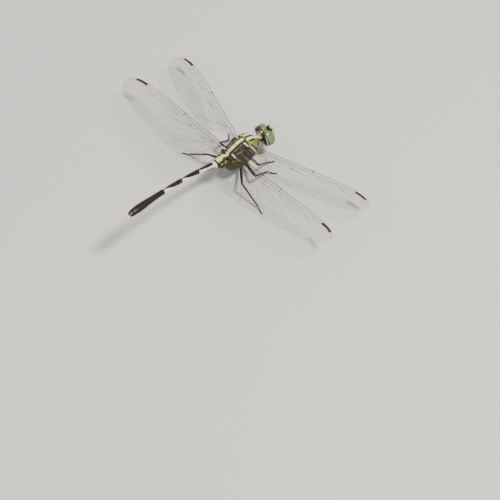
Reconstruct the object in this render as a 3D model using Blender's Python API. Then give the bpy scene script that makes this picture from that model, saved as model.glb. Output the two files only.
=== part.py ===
"""Dragonfly (slender skimmer, Orthetrum sabina), life size, perched and still.

Metres, +Z up, floor at z = 0.  The animal heads along -Y, its left side is +X.
Working numbers are millimetres: (forward, left, up).
"""
import math

import bmesh
import bpy
from mathutils import Matrix, Vector

MM = 0.001
GAP = 0.05                      # cut between neighbouring pieces

# ---- stance -------------------------------------------------------------------
ROOT_HEIGHT = 10.13             # middle of the four wing roots above the floor
THORAX_PITCH = 4.5              # nose down, degrees
HEAD_AT = (9.35, -0.52, 6.14)   # centre of the head
HEAD_YAW = 13.0                 # turned to its own right
HEAD_PITCH = 1.0                # nose down
HEAD_SCALE = 0.79               # of the head's sizes below

# ---- head ---------------------------------------------------------------------
EYE_X, EYE_Y, EYE_Z = -0.05, 1.60, 0.10
EYE_LONG, EYE_WIDE, EYE_TALL = 2.00, 1.85, 2.65   # half axes
EYE_LEAN = 25.0                 # top of the eye leans to the middle
EYE_SPLAY, EYE_PART = 0.30, 0.35   # eyes part towards the face and the neck
EYE_WALL = 0.08                 # flat wall where the two eyes meet
EYE_BACK = -1.35                # flat back of the eyes
OCCIPUT_THICK = 0.72

# ---- wings: (share of span, leading edge, trailing edge) ------------------------
FORE_SPAN, HIND_SPAN = 31.4, 31.1
FORE_ROOT = (1.8, 1.78, 0.30)   # thorax frame
HIND_ROOT = (-1.95, 1.66, -0.45)
FORE_SWEEP, FORE_DROOP, FORE_PITCH = 25.9, 9.3, 12.5
HIND_SWEEP, HIND_DROOP, HIND_PITCH = 4.3, 3.2, 8.0
WING_THICK = 0.50
FORE_PLAN = ((0.0, 0.40, -0.75), (0.033, 0.50, -1.55), (0.077, 0.55, -3.4),
             (0.13, 0.55, -4.9), (0.22, 0.50, -6.1), (0.33, 0.45, -6.9),
             (0.44, 0.40, -7.35), (0.55, 0.30, -7.6), (0.66, 0.18, -7.7),
             (0.77, -0.06, -7.5), (0.85, -0.32, -7.1), (0.91, -0.75, -6.5),
             (0.95, -1.30, -5.75), (0.98, -2.0, -4.9), (1.0, -2.8, -3.8))
HIND_PLAN = ((0.0, 0.40, -1.3), (0.022, 0.50, -5.2), (0.054, 0.55, -8.5),
             (0.108, 0.55, -10.1), (0.183, 0.50, -10.5), (0.27, 0.45, -10.4),
             (0.377, 0.40, -10.15), (0.485, 0.30, -9.85), (0.592, 0.20, -9.4),
             (0.70, 0.06, -8.8), (0.80, -0.12, -8.0), (0.87, -0.32, -7.25),
             (0.923, -0.62, -6.4), (0.965, -1.25, -5.3), (1.0, -2.5, -3.6))

# ---- thorax: (forward, top, bottom, half width) in the thorax frame ---------------
THORAX = ((6.15, -1.75, -5.75, 1.45), (5.9, -1.15, -6.2, 1.85), (5.2, -0.42, -6.75, 2.28),
          (4.2, 0.10, -7.1, 2.56), (3.1, 0.50, -7.3, 2.68), (2.2, 0.58, -7.35, 2.66),
          (0.8, 0.50, -7.3, 2.62), (-0.6, 0.25, -7.1, 2.52), (-1.7, -0.02, -6.75, 2.35),
          (-2.5, -0.50, -6.1, 2.05), (-2.85, -1.10, -5.4, 1.7))
THORAX_SQUARE = 2.4             # superellipse power of its cross-sections
PROTHORAX = ((6.21, -2.5, -5.6, 1.25), (6.6, -2.25, -5.5, 1.40), (7.1, -2.45, -5.0, 1.20),
             (7.4, -2.8, -4.75, 0.95), (7.85, -3.1, -4.65, 0.72))

# ---- abdomen: centre line and segments --------------------------------------------
TAIL_FROM = (-1.91, 7.27)       # forward, up of the arc's start
TAIL_RISE, TAIL_EASE = 29.1, 0.697   # degrees at the start, lost per millimetre
SEGMENT_ENDS = (1.82, 2.45, 3.7, 6.4, 11.7, 17.4, 23.2, 27.95, 30.95, 32.7, 33.55)
# half widths and half heights: at the front, in the middle, at the rear of each
SEGMENT_SIZES = (((1.22, 1.35), (1.30, 1.50), (1.34, 1.60)),
                 ((1.36, 1.62), (1.48, 1.80), (1.36, 1.62)),
                 ((1.32, 1.55), (0.92, 1.12), (0.68, 0.80)),
                 ((0.67, 0.78), (0.60, 0.70), (0.60, 0.70)),
                 ((0.60, 0.70), (0.58, 0.68), (0.60, 0.68)),
                 ((0.60, 0.68), (0.60, 0.68), (0.64, 0.70)),
                 ((0.64, 0.70), (0.70, 0.73), (0.79, 0.77)),
                 ((0.80, 0.78), (0.88, 0.80), (0.90, 0.80)),
                 ((0.90, 0.80), (0.86, 0.76), (0.76, 0.68)),
                 ((0.74, 0.66), (0.68, 0.60), (0.58, 0.50)))
CERCUS_LONG, CERCUS_THICK = 1.95, 0.50

# ---- legs: coxa top, coxa end, knee, end of shin, toe (forward, outward, up) ---------
LEGS = {
    "front_right": ((4.35, 0.85, 2.68), (4.15, 1.25, 2.20), (3.0, 4.75, 4.2), (6.5, 4.1, 1.15), (8.5, 4.7, 0.18)),
    "mid_right": ((2.45, 0.85, 2.33), (2.30, 1.30, 1.85), (0.3, 6.3, 4.0), (4.75, 5.85, 0.9), (6.3, 7.6, 0.18)),
    "hind_right": ((0.75, 0.85, 2.38), (0.55, 1.30, 1.90), (-3.6, 5.75, 4.3), (-3.75, 10.9, 0.75), (-4.4, 13.0, 0.18)),
    "front_left": ((4.35, 0.85, 2.68), (4.15, 1.25, 2.20), (3.6, 4.75, 4.3), (7.0, 4.7, 1.15), (8.9, 5.4, 0.18)),
    "mid_left": ((2.45, 0.85, 2.33), (2.30, 1.30, 1.85), (1.3, 6.3, 4.2), (5.2, 7.0, 0.9), (6.7, 8.7, 0.18)),
    "hind_left": ((0.75, 0.85, 2.38), (0.55, 1.30, 1.90), (-3.2, 5.9, 4.4), (-4.2, 10.7, 0.75), (-5.0, 12.7, 0.18)),
}
COXA_THICK, FEMUR_THICK, SHIN_THICK, TOE_THICK = 0.95, 0.72, 0.52, 0.62
KNEE_ROUND = 0.62               # the bend starts this far from the knee

COLOURS = {
    "eye": (0.16, 0.30, 0.14), "face": (0.42, 0.46, 0.12), "thorax": (0.30, 0.32, 0.06),
    "pale": (0.78, 0.74, 0.55), "black": (0.02, 0.017, 0.012), "leg": (0.035, 0.022, 0.014),
    "wing": (0.62, 0.60, 0.52), "cream": (0.80, 0.73, 0.52),
}

for old in list(bpy.data.objects):
    bpy.data.objects.remove(old, do_unlink=True)


# ---- helpers --------------------------------------------------------------------
def world(forward, left, up):
    return Vector((left, -forward, up))


def material(name):
    found = bpy.data.materials.get(name)
    if found:
        return found
    made = bpy.data.materials.new(name)
    made.use_nodes = True
    bsdf = made.node_tree.nodes["Principled BSDF"]
    bsdf.inputs["Base Color"].default_value = (*COLOURS[name], 1.0)
    bsdf.inputs["Roughness"].default_value = 0.45
    made.diffuse_color = (*COLOURS[name], 1.0)
    return made


def solid(name, verts, faces, colour, smooth=True):
    mesh = bpy.data.meshes.new(name)
    mesh.from_pydata([tuple(v * MM) for v in verts], [], faces)
    bm = bmesh.new()
    bm.from_mesh(mesh)
    bmesh.ops.triangulate(bm, faces=bm.faces)
    bmesh.ops.recalc_face_normals(bm, faces=bm.faces)
    bm.to_mesh(mesh)
    bm.free()
    for poly in mesh.polygons:
        poly.use_smooth = smooth
    mesh.materials.append(material(colour))
    obj = bpy.data.objects.new(name, mesh)
    bpy.context.scene.collection.objects.link(obj)
    return obj


def loft(name, rings, colour, first_tip=None, last_tip=None):
    """Closed body through equal rings; an end is a flat cap or runs to a tip."""
    count = len(rings[0])
    verts = [p for ring in rings for p in ring]
    faces = []
    for r in range(len(rings) - 1):
        a, b = r * count, (r + 1) * count
        for i in range(count):
            j = (i + 1) % count
            faces.append((a + i, a + j, b + j, b + i))
    for tip, base in ((first_tip, 0), (last_tip, (len(rings) - 1) * count)):
        if tip is None:
            faces.append(tuple(range(base, base + count)))
        else:
            verts.append(tip)
            for i in range(count):
                faces.append((base + i, base + (i + 1) % count, len(verts) - 1))
    return solid(name, verts, faces, colour)


def tube_rings(points, sizes, sides, up=None):
    """Rings along a bent line; sizes are (half width, half height) at each point."""
    points = [Vector(p) for p in points]
    rings, side = [], None
    for n, p in enumerate(points):
        ahead = (points[min(n + 1, len(points) - 1)] - p)
        behind = (p - points[max(n - 1, 0)])
        along = (ahead.normalized() + behind.normalized()).normalized()
        if side is None or up is not None:
            ref = up if up is not None else Vector((0, 0, 1))
            side = along.cross(ref).normalized()
        else:
            side = (side - along * side.dot(along)).normalized()
        rise = side.cross(along).normalized()
        w, h = sizes[n]
        rings.append([p + side * (w * math.cos(t)) + rise * (h * math.sin(t))
                      for t in [2 * math.pi * (i + 0.5) / sides for i in range(sides)]])
    return rings


def round_size(share, size, end_round=0.5):
    return size * (end_round + (1 - end_round) * math.sin(min(1.0, share) * math.pi / 2))


# ---- frames ---------------------------------------------------------------------
def thorax_frame(x, y, z):
    a = math.radians(THORAX_PITCH)
    return world(x * math.cos(a) + z * math.sin(a), y,
                 ROOT_HEIGHT - x * math.sin(a) + z * math.cos(a))


def head_frame(x, y, z):
    p, w = math.radians(HEAD_PITCH), math.radians(HEAD_YAW)
    x, y, z = x * HEAD_SCALE, y * HEAD_SCALE, z * HEAD_SCALE
    fx, fz = x * math.cos(p) + z * math.sin(p), -x * math.sin(p) + z * math.cos(p)
    return world(HEAD_AT[0] + fx * math.cos(w) + y * math.sin(w),
                 HEAD_AT[1] - fx * math.sin(w) + y * math.cos(w), HEAD_AT[2] + fz)


# ---- thorax ---------------------------------------------------------------------
def superellipse(x, top, bottom, wide, sides, frame, power):
    mid, tall = (top + bottom) / 2, (top - bottom) / 2
    ring = []
    for i in range(sides):
        t = 2 * math.pi * (i + 0.5) / sides
        c, s = math.cos(t), math.sin(t)
        ring.append(frame(x, wide * math.copysign(abs(c) ** (2 / power), c),
                          mid + tall * math.copysign(abs(s) ** (2 / power), s)))
    return ring


loft("thorax", [superellipse(x, top, low, w, 24, thorax_frame, THORAX_SQUARE)
                for x, top, low, w in THORAX], "thorax")
loft("prothorax", [superellipse(x, top, low, w, 16, thorax_frame, 2.1)
                   for x, top, low, w in PROTHORAX], "thorax")


# ---- head -----------------------------------------------------------------------
def eye_scale(x, grow=0.0):
    inside = 1 - ((x - EYE_X) / (EYE_LONG + grow)) ** 2
    return math.sqrt(inside) if inside > 0 else 0.0


def eye_middle(x):
    return EYE_Y + EYE_SPLAY * max(x, 0.0) ** 1.5 + EYE_PART * max(-x - 0.3, 0.0) ** 1.5


def eye_ring(x, side, sides):
    k, lean = eye_scale(x), math.radians(EYE_LEAN)
    ring = []
    for i in range(sides):
        t = 2 * math.pi * i / sides
        b, c = EYE_WIDE * k * math.cos(t), EYE_TALL * k * math.sin(t)
        out, up = b * math.cos(lean) - c * math.sin(lean), b * math.sin(lean) + c * math.cos(lean)
        ring.append(head_frame(x, side * max(EYE_WALL, eye_middle(x) + out), EYE_Z + up))
    return ring


def eye_inner(x, z, grow):
    """Distance of the eye's inner wall from the middle plane (large where there is no eye)."""
    k, lean = eye_scale(x, grow), math.radians(EYE_LEAN)
    if k < 0.02 or x < EYE_BACK - grow:
        return 9.0
    a, c, up = (EYE_WIDE + grow) * k, (EYE_TALL + grow) * k, z - EYE_Z
    co, si = math.cos(lean), math.sin(lean)
    qa = co * co / a ** 2 + si * si / c ** 2
    qb = 2 * up * si * co * (1 / a ** 2 - 1 / c ** 2)
    qc = up * up * (si * si / a ** 2 + co * co / c ** 2) - 1
    disc = qb * qb - 4 * qa * qc
    if disc <= 0:
        return 9.0
    return max(EYE_WALL - grow, eye_middle(x) + (-qb - math.sqrt(disc)) / (2 * qa))


for side, word in ((1, "left"), (-1, "right")):
    steps = (EYE_BACK, -0.95, -0.4, 0.15, 0.7, 1.15, 1.5, 1.76, 1.9)
    loft("eye_" + word, [eye_ring(x, side, 20) for x in steps], "eye",
         last_tip=head_frame(EYE_X + EYE_LONG, side * (eye_middle(1.95)), EYE_Z))


def resample(corners, count):
    corners = [Vector((*c, 0)) for c in corners]
    loop = corners + [corners[0]]
    lengths = [(loop[i + 1] - loop[i]).length for i in range(len(corners))]
    total, out = sum(lengths), []
    for n in range(count):
        want = total * n / count
        for i, length in enumerate(lengths):
            if want <= length:
                out.append(loop[i].lerp(loop[i + 1], want / length))
                break
            want -= length
    return out


def pillow(name, corners, wide, colour, count=20, edge=0.55, rounding=0.0):
    """Body with a side outline, as wide as wide(x, z), hollowed where the eyes sit."""
    rim = resample(corners, count)
    mid = sum(rim, Vector()) / count
    for _ in range(int(rounding)):
        rim = [(rim[i - 1] + rim[i] * 2 + rim[(i + 1) % count]) / 4 for i in range(count)]
    shares = (0.4, 0.72, 0.92, 1.0)
    faces, verts = [], []
    for side in (1, -1):
        base = len(verts)
        verts.append(head_frame(mid.x, side * min(wide(mid.x, mid.y),
                                                  eye_inner(mid.x, mid.y, GAP) - 0.01), mid.y))
        for share in shares:
            for p in rim:
                q = mid.lerp(p, share)
                y = wide(q.x, q.y) * (1 - (1 - edge) * share ** 4)
                y = max(0.06, min(y, eye_inner(q.x, q.y, GAP) - 0.01))
                verts.append(head_frame(q.x, side * y, q.y))
        for i in range(count):
            j = (i + 1) % count
            faces.append((base, base + 1 + i, base + 1 + j))
            for r in range(len(shares) - 1):
                a, b = base + 1 + r * count, base + 1 + (r + 1) * count
                faces.append((a + i, b + i, b + j, a + j))
    half = len(verts) // 2
    for i in range(count):
        j = (i + 1) % count
        a = 1 + (len(shares) - 1) * count
        faces.append((a + i, a + j, half + a + j, half + a + i))
    return solid(name, verts, faces, colour)


pillow("head", ((EYE_BACK, -1.25), (-0.2, -1.3), (0.95, -1.25), (0.95, -1.95),
                (0.2, -2.05), (EYE_BACK, -1.9)), lambda x, z: 1.25 - 0.12 * z, "face", 22, 0.8)
pillow("frons", ((1.0, 1.5), (1.6, 1.72), (2.45, 1.5), (2.95, 1.0), (3.02, 0.4), (2.65, 0.05),
                 (1.0, 0.05)), lambda x, z: 1.62 - 0.25 * max(0, z - 0.8), "face", 20, 0.62, 1)
pillow("clypeus", ((0.95, 0.0), (2.6, 0.0), (2.92, -0.35), (2.85, -0.85), (2.5, -1.15),
                   (0.95, -1.15)), lambda x, z: 1.70, "face", 20, 0.62, 1)
pillow("labrum", ((0.95, -1.2), (2.45, -1.2), (2.55, -1.6), (2.1, -2.1), (1.55, -2.3),
                  (0.95, -2.2)), lambda x, z: 1.55 + 0.15 * (z + 1.2), "face", 18, 0.6, 1)
pillow("labium", ((-1.0, -2.1), (0.2, -2.12), (0.95, -2.26), (1.45, -2.36), (1.2, -2.75),
                  (0.2, -3.0), (-0.7, -2.8)), lambda x, z: 1.45, "face", 18, 0.7, 1)

# bump between the eyes that carries the simple eyes
loft("vertex", [[head_frame(1.22 + r * math.cos(t), r * 0.95 * math.sin(t), z)
                 for t in [2 * math.pi * i / 12 for i in range(12)]]
                for r, z in ((0.20, 1.80), (0.33, 1.95), (0.30, 2.2), (0.16, 2.38))], "black",
     last_tip=head_frame(1.22, 0, 2.42))


def occiput_ring(x, wide, tall, lift):
    return [head_frame(x, wide * math.cos(t), lift + tall * math.sin(t))
            for t in [2 * math.pi * (i + 0.5) / 20 for i in range(20)]]


back = EYE_BACK - GAP
loft("occiput", [occiput_ring(back, 3.0, 1.9, -0.05), occiput_ring(back - 0.30, 2.5, 1.5, -0.1),
                 occiput_ring(back - OCCIPUT_THICK, 0.9, 0.8, -0.4)], "black")

for side, word in ((1, "left"), (-1, "right")):
    start = (1.75, 0.72, 1.93)
    way = ((0, 0, 0), (0.35, 0.12, 0.3), (0.9, 0.4, 0.75), (1.6, 0.85, 1.25), (2.2, 1.35, 1.55))
    line = [head_frame(start[0] + x, side * (start[1] + y), start[2] + z) for x, y, z in way]
    loft("antenna_" + word, tube_rings(line, ((0.2, 0.2), (0.27, 0.27), (0.25, 0.25),
                                              (0.25, 0.25), (0.2, 0.2)), 7), "black")


# ---- wings ----------------------------------------------------------------------
def wing_axes(sweep, droop, pitch, side):
    """Span and chord directions in thorax axes (forward, left, up)."""
    s, d, p = math.radians(sweep), math.radians(droop), math.radians(pitch)
    span = Vector((math.sin(s) * math.cos(d), side * math.cos(s) * math.cos(d), -math.sin(d)))
    chord = Vector((1, 0, 0))
    chord = (chord - span * chord.dot(span)).normalized()
    lift = chord.cross(span) * side
    chord = (chord * math.cos(p) - lift * math.sin(p)).normalized()
    return span, chord, (chord.cross(span) * side).normalized()


def wing(name, plan, length, root, sweep, droop, pitch, side):
    span, chord, lift = wing_axes(sweep, droop, pitch, side)
    shares = (0.0, 0.12, 0.34, 0.62, 0.86, 1.0)
    rings = []
    for t, lead, trail in plan:
        upper, lower = [], []
        for n, s in enumerate(shares):
            y = lead + (trail - lead) * s
            camber = 0.22 * math.sin(math.pi * s) * math.sin(math.pi * min(1, t * 1.6 + 0.1))
            centre = Vector((root[0], side * root[1], root[2])) + span * (t * length)
            centre += chord * y + lift * camber
            upper.append(centre + lift * (WING_THICK / 2))
            lower.append(centre - lift * (WING_THICK / 2))
        rings.append([thorax_frame(*p) for p in upper + lower[::-1]])
    return loft(name, rings, "wing")


for side, word in ((1, "left"), (-1, "right")):
    wing("forewing_" + word, FORE_PLAN, FORE_SPAN, FORE_ROOT,
         FORE_SWEEP, FORE_DROOP, FORE_PITCH, side)
    wing("hindwing_" + word, HIND_PLAN, HIND_SPAN, HIND_ROOT,
         HIND_SWEEP, HIND_DROOP, HIND_PITCH, side)


# ---- abdomen --------------------------------------------------------------------
def tail_line(s):
    """Point of the abdomen's centre line and its direction, s along the arc."""
    f, u = TAIL_FROM
    steps = 24
    for n in range(steps):
        a = math.radians(TAIL_RISE - TAIL_EASE * s * (n + 0.5) / steps)
        f -= math.cos(a) * s / steps
        u += math.sin(a) * s / steps
    return f, u, math.radians(TAIL_RISE - TAIL_EASE * s)


def tail_ring(s, wide, tall, sides=16):
    f, u, a = tail_line(s)
    ring = []
    for i in range(sides):
        t = 2 * math.pi * (i + 0.5) / sides
        rise = tall * math.sin(t)
        ring.append(world(f + rise * math.sin(a), wide * math.cos(t), u + rise * math.cos(a)))
    return ring


for n, sizes in enumerate(SEGMENT_SIZES):
    front, rear = SEGMENT_ENDS[n] + GAP / 2, SEGMENT_ENDS[n + 1] - GAP / 2
    at = [front + (rear - front) * k / 4 for k in range(5)]
    dims = []
    for k in range(5):
        a, b, m = (sizes[0], sizes[1], k / 2) if k <= 2 else (sizes[1], sizes[2], (k - 2) / 2)
        dims.append((a[0] + (b[0] - a[0]) * m, a[1] + (b[1] - a[1]) * m))
    loft("abdomen_%d" % (n + 1), [tail_ring(s, w, h) for s, (w, h) in zip(at, dims)],
         "black" if n > 5 else "pale")

for side, word in ((1, "left"), (-1, "right")):
    line = []
    for k in range(5):
        f, u, a = tail_line(SEGMENT_ENDS[-1] + GAP + CERCUS_LONG * k / 4)
        line.append(world(f, side * (0.30 + 0.07 * math.sin(math.pi * k / 4) + 0.02 * k), u + 0.16))
    r = CERCUS_THICK / 2
    loft("cercus_" + word, tube_rings(line, ((0.22, 0.22), (r, r), (r, r * 1.1), (r, r * 1.1),
                                             (0.12, 0.12)), 8), "cream")
line = []
for k in range(3):
    f, u, a = tail_line(SEGMENT_ENDS[-1] + GAP + 0.6 * k)
    line.append(world(f, 0, u - 0.36 + 0.03 * k))
loft("epiproct", tube_rings(line, ((0.42, 0.20), (0.34, 0.2), (0.16, 0.12)), 8,
                            Vector((0, 0, 1))), "cream")


# ---- legs -----------------------------------------------------------------------
def leg(name, coxa_top, coxa_end, knee, shin_end, toe, side):
    pts = [world(f, side * l, u) for f, l, u in (coxa_top, coxa_end, knee, shin_end, toe)]
    top, hip, knee, shin, toe = pts
    half = COXA_THICK / 2
    down = (hip - top).normalized()
    loft("coxa_" + name, tube_rings((top, top.lerp(hip, 0.35), hip - down * GAP),
                                    ((half * 0.9, half * 0.9), (half, half),
                                     (half * 0.8, half * 0.8)), 8), "leg")
    a, b = (knee - hip).normalized(), (shin - knee).normalized()
    before, after = knee - a * KNEE_ROUND, knee + b * KNEE_ROUND
    bend = (after - before).normalized()
    split = (before + after) / 2
    r = FEMUR_THICK / 2
    loft("femur_" + name,
         tube_rings((hip + a * 0.34, hip.lerp(before, 0.18), hip.lerp(before, 0.4),
                     hip.lerp(before, 0.8), before, split - bend * GAP / 2),
                    ((r * 0.8, r * 0.8), (r, r), (r * 1.02, r * 1.02), (r * 0.85, r * 0.85),
                     (r * 0.85, r * 0.85), (r * 0.8, r * 0.8)), 8), "leg")
    r = SHIN_THICK / 2
    end = shin - b * GAP / 2
    loft("tibia_" + name,
         tube_rings((split + bend * GAP / 2, after, after.lerp(end, 0.5), end),
                    ((r * 1.1, r * 1.1), (r * 1.08, r * 1.08), (r, r), (r, r)), 8), "leg")
    c = (toe - shin).normalized()
    r = TOE_THICK / 2
    begin = shin + c * (GAP / 2 + 0.12)
    rings = tube_rings((begin, begin.lerp(toe, 0.45) + Vector((0, 0, -0.10)),
                        begin.lerp(toe, 0.62) + Vector((0, 0, toe.z - begin.lerp(toe, 0.62).z)),
                        toe), ((r * 0.82, r * 0.82), (r * 0.85, r * 0.85), (r, r * 1.0),
                               (r, r)), 10, Vector((0, 0, 1)))
    rings = [[Vector((p.x, p.y, max(p.z, 0.0))) for p in ring] for ring in rings]
    loft("tarsus_" + name, rings, "leg")


for name, points in LEGS.items():
    leg(name, *points, 1 if name.endswith("left") else -1)

# ---- the middle of the whole model goes to x = y = 0 -----------------------------
corners = [obj.matrix_world @ v.co for obj in bpy.data.objects for v in obj.data.vertices]
shift = Vector((-(min(c.x for c in corners) + max(c.x for c in corners)) / 2,
                -(min(c.y for c in corners) + max(c.y for c in corners)) / 2,
                -min(c.z for c in corners)))
for obj in bpy.data.objects:
    obj.data.transform(Matrix.Translation(shift))
print("SHIFT", [round(v / MM, 4) for v in shift], "nodes", len(bpy.data.objects))
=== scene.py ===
import functools
import math
import random

import bpy
import numpy as np
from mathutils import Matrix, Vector
from mathutils.geometry import delaunay_2d_cdt

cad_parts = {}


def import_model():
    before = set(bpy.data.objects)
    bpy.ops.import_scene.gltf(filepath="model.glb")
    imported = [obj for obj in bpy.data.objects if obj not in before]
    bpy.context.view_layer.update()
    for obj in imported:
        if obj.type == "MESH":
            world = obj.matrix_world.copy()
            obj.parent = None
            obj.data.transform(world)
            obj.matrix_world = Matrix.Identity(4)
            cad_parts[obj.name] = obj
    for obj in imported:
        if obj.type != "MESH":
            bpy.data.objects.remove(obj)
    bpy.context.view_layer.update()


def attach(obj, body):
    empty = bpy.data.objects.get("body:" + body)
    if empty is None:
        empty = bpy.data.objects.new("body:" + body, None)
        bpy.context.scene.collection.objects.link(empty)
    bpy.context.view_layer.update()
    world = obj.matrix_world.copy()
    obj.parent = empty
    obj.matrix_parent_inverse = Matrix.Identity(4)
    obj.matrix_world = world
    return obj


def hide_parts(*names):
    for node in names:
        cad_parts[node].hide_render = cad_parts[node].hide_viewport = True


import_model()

# Sizes are millimetres, (forward, left, up); the scene is in metres.
MM = 0.001
SHIFT_Y = -11.2535
ROOT_HEIGHT, THORAX_PITCH = 10.13, math.radians(4.5)
HEAD_AT, HEAD_SCALE = (9.35, -0.52, 6.14), 0.79
HEAD_YAW, HEAD_PITCH = math.radians(13), math.radians(1)
SIDES = ((1, "left"), (-1, "right"))


# ---------------------------------------------------------------- helpers
def world(f, l, u):
    f, l, u = np.broadcast_arrays(np.asarray(f, float), np.asarray(l, float), np.asarray(u, float))
    return np.stack([l, -f + SHIFT_Y, u], -1)


def thorax_frame(x, y, z):
    c, s = math.cos(THORAX_PITCH), math.sin(THORAX_PITCH)
    return world(x * c + z * s, y, ROOT_HEIGHT - x * s + z * c)


def head_frame(x, y, z):
    x, y, z = (np.asarray(v, float) * HEAD_SCALE for v in (x, y, z))
    cp, sp, cw, sw = math.cos(HEAD_PITCH), math.sin(HEAD_PITCH), math.cos(HEAD_YAW), math.sin(HEAD_YAW)
    fx, fz = x * cp + z * sp, -x * sp + z * cp
    return world(HEAD_AT[0] + fx * cw + y * sw, HEAD_AT[1] - fx * sw + y * cw, HEAD_AT[2] + fz)


def spline(table, at, column):
    """Smooth curve (Catmull-Rom) through rows of a table, read at first-column values."""
    t = np.asarray(table, float)
    if t[0, 0] > t[-1, 0]:
        t = t[::-1]
    x, y = t[:, 0], t[:, column]
    slope = np.gradient(y, x)
    at = np.clip(np.asarray(at, float), x[0], x[-1])
    i = np.clip(np.searchsorted(x, at, side="right") - 1, 0, len(x) - 2)
    h = x[i + 1] - x[i]
    u = (at - x[i]) / h
    return ((2 * u**3 - 3 * u**2 + 1) * y[i] + (u**3 - 2 * u**2 + u) * h * slope[i]
            + (-2 * u**3 + 3 * u**2) * y[i + 1] + (u**3 - u**2) * h * slope[i + 1])


def bell(v, centre, width):
    return np.exp(-((v - centre) / width) ** 2)


def band(v, centre, half):
    """Distance inside a band: positive within it."""
    return half - np.abs(v - centre)


def stroke(x, y, z, points, half):
    """Distance inside a rounded line through points given for the left, drawn on both sides."""
    p, pts = np.stack([x, np.abs(y), z], -1), np.asarray(points, float)
    half = np.broadcast_to(np.asarray(half, float), (len(pts),))
    best = np.full(np.shape(x), 99.0)
    for a, b, ha, hb in zip(pts, pts[1:], half, half[1:]):
        k = np.clip(((p - a) @ (b - a)) / ((b - a) @ (b - a)), 0, 1)
        best = least(best, np.linalg.norm(p - a - k[..., None] * (b - a), axis=-1) - ha - (hb - ha) * k)
    return -best


def circle(count):
    return np.linspace(0, 2 * math.pi, count, endpoint=False)


def lengths(line):
    """Distance run along a line, at each of its points."""
    return np.concatenate([[0], np.cumsum(np.linalg.norm(np.diff(line, axis=0), axis=1))])


def least(*values):
    return functools.reduce(np.minimum, values)


def most(*values):
    return functools.reduce(np.maximum, values)


def piece(name, verts, faces, mat, nodes=(), slot=None, attrs=None):
    mesh = bpy.data.meshes.new(name)
    mesh.from_pydata((np.asarray(verts) * MM).tolist(), [], faces)
    mesh.update()
    for key, values in (attrs or {}).items():
        layer = mesh.attributes.new(key, "FLOAT", "POINT")
        layer.data.foreach_set("value", np.asarray(values, np.float32))
    mesh.polygons.foreach_set("use_smooth", [True] * len(mesh.polygons))
    mesh.materials.append(mat)
    obj = bpy.data.objects.new(name, mesh)
    bpy.context.scene.collection.objects.link(obj)
    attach(obj, "root")
    if nodes:
        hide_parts(*nodes)


def grid_faces(nu, nv, flip=False):
    """Quads of nu rings of nv points, closed round each ring."""
    faces = []
    for i in range(nu - 1):
        for j in range(nv):
            k = (j + 1) % nv
            q = (i * nv + j, i * nv + k, (i + 1) * nv + k, (i + 1) * nv + j)
            faces.append(q[::-1] if flip else q)
    return faces


def sheet_faces(nu, nv):
    """Quads of an open sheet of nu rows of nv points."""
    return [(i * nv + j, i * nv + j + 1, (i + 1) * nv + j + 1, (i + 1) * nv + j)
            for i in range(nu - 1) for j in range(nv - 1)]


def lofted(points, attrs=None, flip=False):
    """Closed body from (rings, around, 3) points: verts, faces, attributes."""
    nu, nv, _ = points.shape
    verts = np.concatenate([points.reshape(-1, 3), points[0].mean(0)[None], points[-1].mean(0)[None]])
    faces = grid_faces(nu, nv, flip)
    a, b = nu * nv, nu * nv + 1
    for j in range(nv):
        k = (j + 1) % nv
        one, two = (k, j, a), ((nu - 1) * nv + j, (nu - 1) * nv + k, b)
        faces += [one[::-1], two[::-1]] if flip else [one, two]
    out = {}
    for key, v in (attrs or {}).items():
        v = np.broadcast_to(v, (nu, nv))
        out[key] = np.concatenate([v.reshape(-1), [v[0].mean()], [v[-1].mean()]])
    return verts, faces, out


class Bag:
    """Collects several small bodies into one mesh."""

    def __init__(self):
        self.verts, self.faces, self.count, self.attrs = [], [], 0, {}

    def add(self, verts, faces, attrs=None):
        verts = np.asarray(verts)
        self.faces += [tuple(n + self.count for n in f) for f in faces]
        self.verts.append(verts)
        for key, v in (attrs or {}).items():
            self.attrs.setdefault(key, []).append(np.broadcast_to(v, (len(verts),)))
        self.count += len(verts)

    def rod(self, points, radii, sides, attrs=None, **shape):
        verts, faces, _ = lofted(tube(points, radii, sides, **shape))
        self.add(verts, faces, attrs)

    def make(self, name, mat, nodes=(), slot=None):
        attrs = {k: np.concatenate(v) for k, v in self.attrs.items()}
        piece(name, np.concatenate(self.verts), self.faces, mat, nodes, slot, attrs)


def unit(v):
    return v / most(np.linalg.norm(v, axis=-1, keepdims=True), 1e-12)


def tube(points, radii, sides=10, up=(0, 0, 1), flat=1.0):
    """Rings along a line of points; returns (rings, sides, 3)."""
    p = np.asarray(points, float)
    r = np.broadcast_to(np.asarray(radii, float), (len(p),))
    along = unit(np.gradient(p, axis=0))
    side = np.cross(along, np.asarray(up, float))
    bad = np.linalg.norm(side, axis=1) < 0.15
    side[bad] = np.cross(along[bad], (0.3, 0.9, 0.1))
    side = unit(side)
    rise = np.cross(side, along)
    t = circle(sides)
    return (p[:, None] + side[:, None] * (r[:, None] * np.cos(t))[..., None]
            + rise[:, None] * (flat * r[:, None] * np.sin(t))[..., None])


def curve_through(points, step=0.25):
    """Smooth dense line through a few 3-D points."""
    p = np.asarray(points, float)
    d = lengths(p)
    at = np.linspace(0, d[-1], max(4, int(d[-1] / step) + 1))
    table = np.column_stack([d, p])
    return np.column_stack([spline(table, at, k + 1) for k in range(p.shape[1])]), at / d[-1]


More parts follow.
